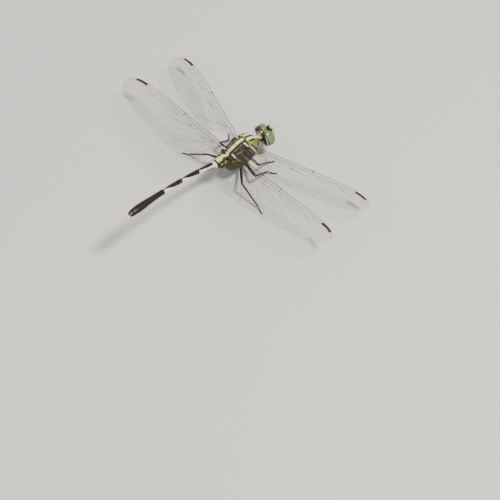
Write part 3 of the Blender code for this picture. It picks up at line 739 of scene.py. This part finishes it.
for side, word in SIDES:
    k = np.linspace(0, 1, 30)
    s = ENDS[-1] - 0.06 + (CERCUS_LONG + 0.06) * k
    y = side * (0.28 + 0.10 * np.sin(math.pi * k) + 0.06 * k)
    pts = tail_frame(s, y, 0.17 + 0.05 * np.sin(math.pi * k) + 0.05 * k**2)
    r = np.interp(k, (0, 0.12, 0.45, 0.72, 0.9, 1), (0.15, 0.19, 0.235, 0.24, 0.13, 0.03))
    verts, faces, attrs = lofted(tube(pts, r, 20), {"brown": (k[:, None] - 0.93) * 2 + np.zeros((1, 20))})
    piece("tail_clasper_" + word, verts, faces, cercus_mat, ["cercus_" + word], "cercus", attrs)
k = np.linspace(0, 1, 20)
pts = tail_frame(ENDS[-1] - 0.05 + 1.25 * k, 0 * k, -0.34 + 0.08 * k)
ring = tube(pts, np.interp(k, (0, 0.6, 0.92, 1), (0.36, 0.30, 0.17, 0.08)), 20, flat=0.5)
verts, faces, attrs = lofted(ring, {"brown": np.full((20, 20), -0.02)})
piece("tail_plate", verts, faces, cercus_mat, ["epiproct"], "cercus", attrs)

# ---------------------------------------------------------------- legs
HIPS = {"front": ((4.35, 0.85, 2.68), (4.15, 1.25, 2.20)), "mid": ((2.45, 0.85, 2.33), (2.30, 1.30, 1.85)),
        "hind": ((0.75, 0.85, 2.38), (0.55, 1.30, 1.90))}
LEGS = {                                            # knee, end of the shin, toe
    "front_right": ((3.0, 4.75, 4.2), (6.5, 4.1, 1.15), (8.5, 4.7, 0.18)),
    "mid_right": ((0.3, 6.3, 4.0), (4.75, 5.85, 0.9), (6.3, 7.6, 0.18)),
    "hind_right": ((-3.6, 5.75, 4.3), (-3.75, 10.9, 0.75), (-4.4, 13.0, 0.18)),
    "front_left": ((3.6, 4.75, 4.3), (7.0, 4.7, 1.15), (8.9, 5.4, 0.18)),
    "mid_left": ((1.3, 6.3, 4.2), (5.2, 7.0, 0.9), (6.7, 8.7, 0.18)),
    "hind_left": ((-3.2, 5.9, 4.4), (-4.2, 10.7, 0.75), (-5.0, 12.7, 0.18)),
}
rng = random.Random(7)


def spike(bag, base, direction, length, radius, sides=5):
    k = np.array([0, 0.5, 1.0])[:, None]
    line = np.asarray(base) + np.asarray(direction) * length * k
    bag.rod(line, radius * np.array([1, 0.62, 0.08]), sides, {"pale": -1.0})


def make_setae(count=900):
    """Short fine hairs on the front, flanks and breast of the thorax."""
    bag, gen = Bag(), np.random.default_rng(41)
    rings, around = 120, 240
    x, y, z, _, top = superellipse(THORAX, np.linspace(-2.3, 5.6, rings), around, 2.4)
    here = thorax_frame(x, y, z)
    middle = thorax_frame(x, 0 * y, (z.max(1) + z.min(1))[:, None] / 2 + 0 * y)
    out = unit(here - middle)
    for i, j in zip(gen.integers(0, rings, count), gen.integers(0, around, count)):
        tilt, length = gen.normal(0, 0.3, 3), gen.uniform(0.25, 0.5)
        if z[i, j] > top[i, j] - 1.0 and x[i, j] < 3.2:          # bare between the wings
            continue
        spike(bag, here[i, j] - 0.06 * out[i, j], unit(out[i, j] + tilt), length, 0.010, 4)
    bag.make("thorax_hairs", hair_mat, (), "thorax")


make_setae()


def limb(bag, points, radii, sides, step=0.12, pale=None):
    line, share = curve_through(points, step)
    r = np.interp(share, np.linspace(0, 1, len(radii)), radii)
    rings = tube(line, r, sides)
    mark = np.full(rings.shape[:2], -1.0) if pale is None else pale(share, rings)
    v, f, a = lofted(rings, {"pale": mark})
    bag.add(v, f, a)
    return line


def make_leg(name, pts, side):
    top, hip, knee, shin, toe = [world(f, side * l, u) for f, l, u in pts]
    coxa = Bag()
    limb(coxa, [top + (hip - top) * -0.35, top, (top + hip) / 2, hip], (0.36, 0.50, 0.46, 0.30), 18)
    coxa.make("hip_" + name, leg_mat, ["coxa_" + name], "leg")
    a, b = unit(knee - hip), unit(shin - knee)
    bend = unit(b - a)
    femur, r = Bag(), 0.35

    def stripe(share, rings):
        """Pale line along one face of the thigh."""
        lat = (rings - rings.mean(1, keepdims=True)) @ unit(np.cross(a, (0, 0, 1.0)))
        return lat - 0.10 + np.where((share > 0.08) & (share < 0.88), 0.0, -0.4)[:, None]

    line = limb(femur, [hip, hip + a * 0.35, hip + (knee - hip) * 0.5, knee - a * 0.5, knee - a * 0.08],
                (0.24, r, r, r * 0.92, r * 0.80, r * 0.80, r * 0.62), 16,
                pale=stripe if name.startswith("front") else None)
    n = len(line)
    under = unit(np.cross(np.cross(a, bend), a))
    for i in range(3, n - 4, 3):
        for tilt in (-0.5, 0.5):
            d = unit(under + tilt * unit(np.cross(a, under)) + 0.35 * a)
            spike(femur, line[i] + d * 0.24, d, 0.22 + 0.16 * rng.random(), 0.022)
    femur.make("thigh_" + name, leg_mat, ["femur_" + name], "leg")
    tibia = Bag()
    line = limb(tibia, [knee + b * 0.02, knee + b * 0.25, (knee + shin) / 2, shin],
                (0.22, 0.24, 0.205, 0.19, 0.18, 0.19, 0.20), 14)
    n = len(line)
    inner = unit(np.cross(np.cross(b, -a), b))
    for i in range(4, n - 1, 5):
        for tilt in (-0.75, 0.75):
            d = unit(inner + tilt * unit(np.cross(b, inner)) + 0.55 * b)
            size = 1.0 + 0.35 * math.sin(math.pi * i / n)
            spike(tibia, line[i] + d * 0.12, d, size * (0.95 + 0.2 * rng.random()), 0.030)
    for tilt in (-0.9, 0.0, 0.9):
        d = unit(inner + tilt * unit(np.cross(b, inner)) + 1.4 * b)
        spike(tibia, line[-2], d, 0.6, 0.032)
    tibia.make("shin_" + name, leg_mat, ["tibia_" + name], "leg")
    tarsus = Bag()
    c = unit(toe - shin)
    low = np.array([0, 0, 1.0])
    stops = [shin + c * 0.05, shin + (toe - shin) * 0.22 - low * 0.04,
             shin + (toe - shin) * 0.52 - low * 0.12, toe - c * 0.25 - low * (toe[2] * 0.08)]
    stops = [np.array([s[0], s[1], max(s[2], 0.17)]) for s in stops]
    for p, q in zip(stops, stops[1:]):
        limb(tarsus, [p, p + (q - p) * 0.5, q], (0.12, 0.15, 0.165, 0.12), 12, step=0.07)
        d = unit(q - p)
        for tilt in (-0.7, 0.7):
            spike(tarsus, q - d * 0.1, unit(d * 0.9 - low * 0.5 + tilt * unit(np.cross(d, low))), 0.22, 0.02)
    end = stops[-1]
    out = unit(np.array([c[0], c[1], 0.0]))
    cross = np.array([-out[1], out[0], 0.0])
    for s in (-1, 1):
        hook, share = curve_through([end, end + out * 0.16 + cross * s * 0.10 + low * 0.04,
                                     end + out * 0.36 + cross * s * 0.17 - low * 0.02,
                                     end + out * 0.44 + cross * s * 0.18 - low * 0.15], 0.05)
        hook[:, 2] = most(hook[:, 2], 0.012)
        tarsus.rod(hook, np.interp(share, (0, 0.5, 1), (0.07, 0.045, 0.01)), 8, {"pale": -1.0})
    tarsus.make("foot_" + name, leg_mat, ["tarsus_" + name], "leg")


for name, pts in LEGS.items():
    make_leg(name, HIPS[name.split("_")[0]] + pts, 1 if name.endswith("left") else -1)

# ---------------------------------------------------------------- wings
# Along the span and the chord. plan: share of the span, leading edge, trailing edge.
# root: thorax frame. turn: sweep, droop, pitch. r1: vein behind the leading edge.
FORE = dict(span=31.4, root=(1.8, 1.78, 0.30), turn=(25.9, 9.3, 12.5), nodus=16.7, stigma=(27.5, 30.4),
            plan=((0.0, 0.40, -0.75), (0.033, 0.50, -1.55), (0.077, 0.55, -3.4), (0.13, 0.55, -4.9),
                  (0.22, 0.50, -6.1), (0.33, 0.45, -6.9), (0.44, 0.40, -7.35), (0.55, 0.30, -7.6),
                  (0.66, 0.18, -7.7), (0.77, -0.06, -7.5), (0.85, -0.32, -7.1), (0.91, -0.75, -6.5),
                  (0.95, -1.30, -5.75), (0.98, -2.0, -4.9), (0.995, -2.75, -3.9), (1.0, -3.1, -3.3)),
            r1=((0, -0.2), (1.5, -0.42), (3, -0.55), (8, -0.68), (13, -0.70), (16.7, -0.57), (21, -0.60),
                (24.3, -0.78), (27.5, -1.13), (29.2, -1.60), (30.3, -2.20), (31.0, -2.95)),
            veins=(((3.7, -0.62), (4.2, -0.95), (6, -1.25), (10, -1.5), (14, -1.5), (17.3, -1.3),
                    (22, -1.5), (27, -2.05), (29.5, -2.85), (30.9, -3.8)),
                   ((24, -1.75), (27.5, -3.1), (30.0, -5.6)),
                   ((17.9, -1.35), (22, -2.45), (25.5, -4.1), (28.0, -6.7)),
                   ((12.5, -1.55), (16, -2.4), (20, -3.9), (23.6, -5.7), (26.0, -7.2)),
                   ((11, -1.5), (14.5, -2.8), (18, -4.7), (21, -6.5), (22.6, -7.6)),
                   ((3.7, -1.1), (6, -1.95), (9, -2.7), (12, -3.4), (15.5, -4.8), (18.5, -6.5), (19.9, -7.7)),
                   ((0.2, -0.35), (2.0, -0.95), (3.7, -1.55), (5.4, -2.2), (6.1, -3.5), (9, -5.0),
                    (12.3, -6.7), (13.6, -7.35)),
                   ((6.0, -3.4), (7.4, -4.9), (9.0, -6.6)),
                   ((0.1, -0.55), (2.5, -1.8), (5.0, -3.3), (6.1, -3.45)),
                   ((2.4, -1.75), (3.2, -3.0), (4.2, -5.0)), ((5.2, -2.15), (6.9, -2.15)),
                   ((7.0, -2.15), (6.1, -3.4))))
HIND = dict(span=31.1, root=(-1.95, 1.66, -0.45), turn=(4.3, 3.2, 8.0), nodus=13.8, stigma=(26.7, 29.8),
            plan=((0.0, 0.40, -1.3), (0.022, 0.50, -5.2), (0.054, 0.55, -8.5), (0.108, 0.55, -10.1),
                  (0.183, 0.50, -10.5), (0.27, 0.45, -10.4), (0.377, 0.40, -10.15), (0.485, 0.30, -9.85),
                  (0.592, 0.20, -9.4), (0.70, 0.06, -8.8), (0.80, -0.12, -8.0), (0.87, -0.32, -7.25),
                  (0.923, -0.62, -6.4), (0.965, -1.25, -5.3), (0.99, -2.1, -4.2), (1.0, -2.85, -3.15)),
            r1=((0, -0.2), (1.2, -0.42), (3, -0.55), (7, -0.65), (11, -0.65), (13.8, -0.55), (20, -0.62),
                (24, -0.78), (26.7, -0.97), (28.5, -1.25), (29.8, -1.80), (30.7, -2.75)),
            veins=(((3.0, -0.62), (3.6, -0.95), (6, -1.25), (9, -1.45), (13.9, -1.3), (20, -1.5), (26, -1.95),
                    (28.6, -2.5), (30.4, -3.5)),
                   ((22.5, -1.7), (26.5, -3.3), (29.6, -5.6)),
                   ((14.5, -1.35), (19, -2.9), (23.5, -5.2), (26.6, -7.4)),
                   ((9.8, -1.5), (14, -2.9), (18.5, -5.2), (22, -7.6), (23.3, -8.4)),
                   ((8.5, -1.45), (12, -3.0), (16, -5.5), (19, -8.2), (19.9, -9.1)),
                   ((3.0, -1.1), (5.5, -2.0), (8.5, -3.1), (12, -5.1), (15, -7.7), (16.6, -9.6)),
                   ((0.2, -0.35), (1.6, -0.85), (3.0, -1.25), (4.0, -1.5), (4.1, -2.9), (7, -4.5),
                    (10.5, -7.4), (13.2, -10.0)),
                   ((4.1, -2.9), (6.0, -5.2), (8.8, -8.3), (9.8, -10.25)),
                   ((0.1, -0.6), (1.6, -1.7), (3.0, -2.7), (4.1, -2.95)),
                   ((2.9, -2.65), (3.2, -4.6), (4.6, -7.6), (7.0, -8.6), (8.4, -8.0)),
                   ((1.5, -1.6), (1.7, -4.0), (2.6, -7.0), (4.4, -10.0)), ((3.9, -1.5), (5.6, -1.7)),
                   ((5.6, -1.75), (4.1, -2.8))))


class Wing:
    def __init__(self, spec, side):
        self.spec = spec
        s, d, p = (math.radians(v) for v in spec["turn"])
        span = np.array([math.sin(s) * math.cos(d), side * math.cos(s) * math.cos(d), -math.sin(d)])
        chord = np.array([1.0, 0, 0])
        chord = unit(chord - span * (chord @ span))
        lift = np.cross(chord, span) * side
        chord = unit(chord * math.cos(p) - lift * math.sin(p))
        lift = unit(np.cross(chord, span) * side)
        self.lift_world = thorax_frame(*lift) - thorax_frame(0, 0, 0)
        self.root = np.array([spec["root"][0], side * spec["root"][1], spec["root"][2]])
        self.span, self.chord, self.lift = span, chord, lift
        plan = np.array(spec["plan"], float)
        plan[:, 0] *= spec["span"]
        self.plan = plan

    def lead(self, x):
        return spline(self.plan, x, 1)

    def trail(self, x):
        return spline(self.plan, x, 2)

    def r1(self, x):
        return spline(self.spec["r1"], x, 1)

    def height(self, x, y):
        lead, trail = self.lead(x), self.trail(x)
        t = x / self.spec["span"]
        s = np.clip((lead - y) / (lead - trail), 0, 1)
        d = np.clip(lead - y, 0, None)
        camber = 0.22 * np.sin(math.pi * s) * np.sin(math.pi * least(1, t * 1.6 + 0.1))
        fold = 0.15 * np.exp(-d / 2.4) * (1 - 0.8 * t) * np.cos(2 * math.pi * d / 1.2)
        return camber + fold * np.clip(t * 12, 0, 1)

    def place(self, x, y, extra=0.0):
        x, y = np.asarray(x, float), np.asarray(y, float)
        z = self.height(x, y) + extra
        p = (self.root + x[..., None] * self.span + y[..., None] * self.chord + z[..., None] * self.lift)
        return thorax_frame(p[..., 0], p[..., 1], p[..., 2])


def line2d(points, step=0.3):
    return curve_through(points, step)[0]


def main_veins(w):
    """(polyline, radius at start, radius at end) of every long vein."""
    span, nodus = w.spec["span"], w.spec["nodus"]
    xs = np.linspace(0, span, 150)
    lead = np.column_stack([xs, w.lead(xs)])
    trail = np.column_stack([xs, w.trail(xs)])
    root = np.array([(-0.15, -0.25), (-0.2, -0.8), (0.0, float(w.trail(0)))])
    trail = np.vstack([line2d(root, 0.15)[:-1], trail])
    out = [(lead, 0.085, 0.045), (trail, 0.026, 0.024)]
    x = np.linspace(0, nodus, 60)
    drop = np.interp(x, (0, 2, nodus - 1.5, nodus), (0.30, 0.50, 0.46, 0.0))
    out.append((np.column_stack([x, w.lead(x) - drop]), 0.048, 0.035))
    x = np.linspace(0, w.spec["r1"][-1][0], 120)
    out.append((np.column_stack([x, w.r1(x)]), 0.078, 0.040))
    for v in w.spec["veins"]:
        out.append((line2d(v), 0.042, 0.025))
    x0 = w.spec["veins"][0][0][0]
    out.append((np.array([[x0, float(w.r1(x0))], [x0, w.spec["veins"][5][0][1]], [x0, -1.5]]), 0.045, 0.04))
    return out


CELL_START, CELL_STEP, CELL_MERGE = 0.35, 0.80, 0.42      # seeds beside the long veins
TRIES, CELL_WIDE, CELL_NARROWER = 9000, 0.80, 0.22        # seeds between them
JOIN, WALL_LEAST, WALL_MOST = 0.20, 0.06, 2.2             # walls: reach to a vein, lengths


def along(line, at, run):
    return np.column_stack([np.interp(at, run, line[:, k]) for k in (0, 1)])


def circumcentre(a, b, c):
    """Middle of the circle through three points, or None where they lie in line."""
    dd = 2 * (a[0] * (b[1] - c[1]) + b[0] * (c[1] - a[1]) + c[0] * (a[1] - b[1]))
    if abs(dd) < 1e-9:
        return None
    x = ((a @ a) * (b[1] - c[1]) + (b @ b) * (c[1] - a[1]) + (c @ c) * (a[1] - b[1])) / dd
    y = ((a @ a) * (c[0] - b[0]) + (b @ b) * (a[0] - c[0]) + (c @ c) * (b[0] - a[0])) / dd
    return np.array([x, y])


def cell_seeds(w, lines, inside, gen):
    """Points that the cells grow round: (kept, outer), the outer ones beyond the cells' field."""
    seeds = []
    for line in lines:
        run = lengths(line)
        at = np.arange(CELL_START, run[-1], CELL_STEP)
        p, q = along(line, at, run), along(line, at + 0.05, run)
        n = unit(q - p + 1e-9)[:, ::-1] * np.array([-1, 1])
        for s in (-0.30, 0.30):
            seeds += list(p + n * s)
    seeds = np.array(seeds)
    flags, kept = inside(seeds), []
    for p in seeds[flags]:
        near = [i for i, q in enumerate(kept) if np.hypot(*(q - p)) < CELL_MERGE]
        if near:
            kept[near[0]] = (kept[near[0]] + p) / 2
        else:
            kept.append(p)
    kept = np.array(kept)
    tries = np.column_stack([gen.uniform(0, w.spec["span"], TRIES), gen.uniform(-11, 1, TRIES)])
    for p in tries[inside(tries)]:
        back = (w.r1(p[0]) - p[1]) / (w.r1(p[0]) - w.trail(p[0]))
        if np.min(np.hypot(kept[:, 0] - p[0], kept[:, 1] - p[1])) > CELL_WIDE - CELL_NARROWER * back:
            kept = np.vstack([kept, p])
    return kept, seeds[~flags]


def cells(w, seed):
    """Small cross-veins: walls between seeded cells, behind the R1 vein."""
    mains = [m[0] for m in main_veins(w)]
    lines = mains[1:2] + mains[3:]

    def inside(p):
        return ((p[:, 1] < w.r1(p[:, 0]) - 0.02) & (p[:, 1] > w.trail(p[:, 0]) + 0.02)
                & (p[:, 0] > 0.5) & (p[:, 0] < w.spec["span"] - 0.25))

    kept, outer = cell_seeds(w, lines, inside, np.random.default_rng(seed))
    pts = np.vstack([kept, outer])
    verts, _, tris, _, _, _ = delaunay_2d_cdt([Vector((float(a), float(b))) for a, b in pts], [], [], 0, 1e-6)
    v = np.array([tuple(p) for p in verts])
    idx = np.array([int(np.argmin(np.hypot(pts[:, 0] - p[0], pts[:, 1] - p[1]))) for p in v])
    centre, shared = {}, {}
    for n, (a, b, c) in enumerate(tris):
        middle = circumcentre(v[a], v[b], v[c])
        if middle is None:
            continue
        centre[n] = middle
        for e in ((a, b), (b, c), (c, a)):
            shared.setdefault(tuple(sorted(e)), []).append(n)
    dense = [line2d(m, 0.08) if len(m) < 8 else
             along(m, np.linspace(0, 1, 500), np.linspace(0, 1, len(m))) for m in lines]
    which = np.concatenate([[i] * len(m) for i, m in enumerate(dense)])
    dense, walls = np.vstack(dense), []
    for (a, b), ts in shared.items():
        if len(ts) < 2 or max(idx[a], idx[b]) >= len(kept):
            continue
        ends, tags = [], []
        for t in ts:
            p = centre[t]
            dist = np.hypot(dense[:, 0] - p[0], dense[:, 1] - p[1])
            k = int(np.argmin(dist))
            on_vein = dist[k] < JOIN
            ends.append(dense[k] if on_vein else p)
            tags.append(which[k] if on_vein else -1)
        one, two = ends[:2]
        long = np.hypot(*(one - two))
        if (tags[0] == tags[1] and tags[0] >= 0) or not WALL_LEAST <= long <= WALL_MOST:
            continue
        if inside(np.array([one * 0.9 + two * 0.1, (one + two) / 2, one * 0.1 + two * 0.9])).all():
            walls.append((one, two))
    return walls


def front_walls(w, seed):
    """Cross-veins between the leading edge and R1, before and behind the nodus."""
    nodus, (s0, s1) = w.spec["nodus"], w.spec["stigma"]
    jitter, walls = np.random.default_rng(seed + 1), []
    beyond = np.concatenate([np.arange(nodus + 0.5, s0 - 0.4, 1.08),
                             np.arange(s1 + 0.45, w.spec["span"] - 1.2, 0.5)])
    for rows, slant, read in ((np.arange(1.3, nodus - 0.3, 1.02), 0.03, 0.0), (beyond, 0.12, 0.12)):
        for x in rows:
            x += jitter.uniform(-0.08, 0.08)
            walls.append((np.array([x, float(w.lead(x))]), np.array([x + slant, float(w.r1(x + read))])))
    return walls


def wall_rods(w, walls, bag):
    """Square rods for all the small cross-veins."""
    up, radius, over = w.lift_world, 0.018, 0.01
    a, b = (np.array([q[k] for q in walls]) for k in (0, 1))
    p0, p1 = w.place(a[:, 0], a[:, 1]), w.place(b[:, 0], b[:, 1])
    run = unit(p1 - p0)
    across = unit(np.cross(run, up))
    both = np.concatenate([np.stack([
        p + across * radius * math.cos(t) + up * radius * math.sin(t)
        for t in (math.pi / 4, 3 * math.pi / 4, 5 * math.pi / 4, 7 * math.pi / 4)], 1)
        for p in (p0 - run * over, p1 + run * over)], 1).reshape(-1, 3)
    faces = []
    for o in range(0, len(walls) * 8, 8):
        for j in range(4):
            m = (j + 1) % 4
            faces.append((o + j, o + m, o + 4 + m, o + 4 + j))
        faces += [(o + 3, o + 2, o + 1, o), (o + 4, o + 5, o + 6, o + 7)]
    bag.add(both, faces)


ROOT_BARS = {"fore": ((1.88, 0.82, 0.50), (1.90, 1.35, 0.50), (1.88, 1.95, 0.38), (1.90, 2.60, 0.20)),
             "hind": ((-2.15, 1.02, -0.25), (-2.15, 1.5, -0.22), (-2.16, 2.0, -0.38), (-2.2, 2.6, -0.60))}
ROOT_LOBES = ((0.50, -0.25, -0.16, 0.20, 0.62, 0.20), (-0.50, -0.15, -0.20, 0.34, 0.62, 0.20),
              (0.12, 0.40, -0.08, 0.62, 0.16, 0.12), (-0.62, 0.42, -0.16, 0.50, 0.20, 0.13),
              (-1.10, -0.2, -0.34, 0.30, 0.60, 0.18))


def wing_root(w, side, kind, word):
    """Small hard plates at the wing root: one pale bar, darker lobes beside it."""
    roots, lobes = Bag(), Bag()
    line, share = curve_through([(x, side * y, z) for x, y, z in ROOT_BARS[kind]], 0.06)
    r = np.interp(share, (0, 0.08, 0.3, 0.5, 0.62, 0.85, 1), (0.06, 0.17, 0.24, 0.20, 0.23, 0.17, 0.05))
    q = tube(line, r, 18, flat=0.75)
    brown = most(0.04 - share, 0.03 - np.abs(share - 0.47))[:, None] * 2 + np.zeros(q.shape[:2])
    roots.add(*lofted(thorax_frame(q[..., 0], q[..., 1], q[..., 2]), {"brown": brown}))
    a, t = np.linspace(-1.5, 1.5, 12)[:, None], circle(20)[None]
    for x, y, z, rx, ry, rz in ROOT_LOBES:
        X = w.root[0] + x + rx * np.cos(a) * np.cos(t)
        Y = w.root[1] - side * 0.42 + side * y + ry * np.cos(a) * np.sin(t)
        Z = w.root[2] + z + rz * np.sin(a) + 0 * t
        v, f, _ = lofted(thorax_frame(X, Y, Z), flip=side < 0)
        lobes.add(v, f, {"black": -1.0, "pale": -1.0, "yellow": -1.0, "brown": 1.0, "rust": -0.09})
    roots.make("%s_root_%s" % (kind, word), sclerite_mat, (), "wing")
    lobes.make("%s_hinge_%s" % (kind, word), thorax_mat, (), "wing")


def make_wings(spec, kind, seed):
    walls, nodus = None, spec["nodus"]
    for side, word in SIDES:
        w = Wing(spec, side)
        walls = walls or cells(w, seed) + front_walls(w, seed)
        bag, up = Bag(), w.lift_world
        for line, r0, r1 in main_veins(w):
            p = w.place(line[:, 0], line[:, 1])
            bag.rod(p, r0 + (r1 - r0) * np.linspace(0, 1, len(p)), 6, up=up)
        wall_rods(w, walls, bag)
        bag.make("%s_veins_%s" % (kind, word), vein_mat, ["%swing_%s" % (kind, word)], "wing")

        xs = spec["span"] * (1 - np.cos(np.linspace(0.02, math.pi, 190))) / 2
        s = np.linspace(0, 1, 52)
        X = xs[:, None] + 0 * s
        Y = w.lead(X) + (w.trail(X) - w.lead(X)) * s
        piece("%s_membrane_%s" % (kind, word), w.place(X, Y).reshape(-1, 3), sheet_faces(*X.shape),
              membrane_mat, (), "wing")

        # dark mark near the tip
        s0, s1 = spec["stigma"]
        u, t = np.linspace(0, 1, 30)[:, None], circle(24)[None]
        across = 0.5 + 0.46 * np.cos(t)
        x = s0 + (s1 - s0) * u + 0.22 * (0.5 - across)
        top, low = w.lead(x), w.r1(x)
        thick = 0.075 * np.sin(t) * np.clip(least(u, 1 - u) * 20, 0.25, 1)
        verts, faces, _ = lofted(w.place(x, top + (low - top) * across, thick))
        piece("%s_stigma_%s" % (kind, word), verts, faces, stigma_mat, (), "wing")
        joint = Bag()
        k = np.linspace(-0.5, 0.55, 12)
        joint.rod(w.place(nodus + k, w.lead(nodus + k) - 0.04), 0.05 + 0.11 * bell(k, 0.0, 0.22), 10, up=up)
        k = np.linspace(0, 1, 8)
        joint.rod(w.place(nodus + 0.02 + 0.10 * k, w.lead(nodus) + (w.r1(nodus) - w.lead(nodus)) * k),
                  0.075, 8, up=up)
        joint.make("%s_nodus_%s" % (kind, word), vein_mat, (), "wing")
        wing_root(w, side, kind, word)
        if kind == "fore":
            continue
        # amber stain at the root of the hindwing
        xs = np.linspace(0.1, 1.7, 24)
        far = least(w.lead(xs) - w.trail(xs), 3.4 * np.sqrt(np.clip(1 - (xs / xs[-1]) ** 2, 0, 1)) + 0.2)
        Y = w.lead(xs)[:, None] - far[:, None] * np.linspace(0.05, 1, 12)
        X = np.broadcast_to(xs[:, None], Y.shape)
        piece("%s_stain_%s" % (kind, word), w.place(X, Y, 0.02).reshape(-1, 3), sheet_faces(*X.shape),
              amber_mat, (), "wing")


make_wings(FORE, "fore", 11)
make_wings(HIND, "hind", 23)

# ---------------------------------------------------------------- stage
mesh = bpy.data.meshes.new("floor")
mesh.from_pydata([(-4, -4, 0), (4, -4, 0), (4, 4, 0), (-4, 4, 0)], [], [(0, 1, 2, 3)])
mesh.materials.append(plain("floor", (0.62, 0.60, 0.57), 0.7).material)
floor = bpy.data.objects.new("floor", mesh)
bpy.context.scene.collection.objects.link(floor)

world_data = bpy.data.worlds.new("studio")
world_data.use_nodes = True
background = world_data.node_tree.nodes["Background"]
background.inputs["Color"].default_value = (0.95, 0.97, 1.0, 1)
background.inputs["Strength"].default_value = 0.55
bpy.context.scene.world = world_data


def toward(azimuth, elevation):
    """Direction from the object; azimuth 0 is in front of it, 90 on its left."""
    a, e = math.radians(azimuth), math.radians(elevation)
    return Vector((math.sin(a) * math.cos(e), -math.cos(a) * math.cos(e), math.sin(e)))


def lamp(name, azimuth, elevation, distance, size, power, colour):
    d = toward(azimuth, elevation)
    data = bpy.data.lights.new(name, "AREA")
    data.size, data.energy, data.color = size, power, colour
    obj = bpy.data.objects.new(name, data)
    obj.location = d * distance
    obj.rotation_euler = (-d).to_track_quat("-Z", "Y").to_euler()
    bpy.context.scene.collection.objects.link(obj)


lamp("key", -68, 66, 0.60, 0.10, 5.2, (1.0, 0.97, 0.90))
lamp("fill", 150, 40, 0.70, 0.50, 1.2, (0.92, 0.96, 1.0))

CAMERA_TURN, CAMERA_UP = -135.2, 54.0
CAMERA_FAR, AIM_RIGHT, AIM_DOWN = 0.50985, 0.003244, 0.0241          # metres
back = toward(CAMERA_TURN, CAMERA_UP)
right = Vector((math.cos(math.radians(CAMERA_TURN)), math.sin(math.radians(CAMERA_TURN)), 0))
aim = Vector(world(0, 0, ROOT_HEIGHT)) * MM
cam_data = bpy.data.cameras.new("camera")
cam_data.lens, cam_data.sensor_width = 158.4, 36.0
cam_data.clip_start, cam_data.clip_end = 0.01, 10
camera = bpy.data.objects.new("camera", cam_data)
camera.location = aim + back * CAMERA_FAR
target = aim + right * AIM_RIGHT - back.cross(right) * AIM_DOWN
camera.rotation_euler = (target - camera.location).to_track_quat("-Z", "Y").to_euler()
bpy.context.scene.collection.objects.link(camera)
bpy.context.scene.camera = camera
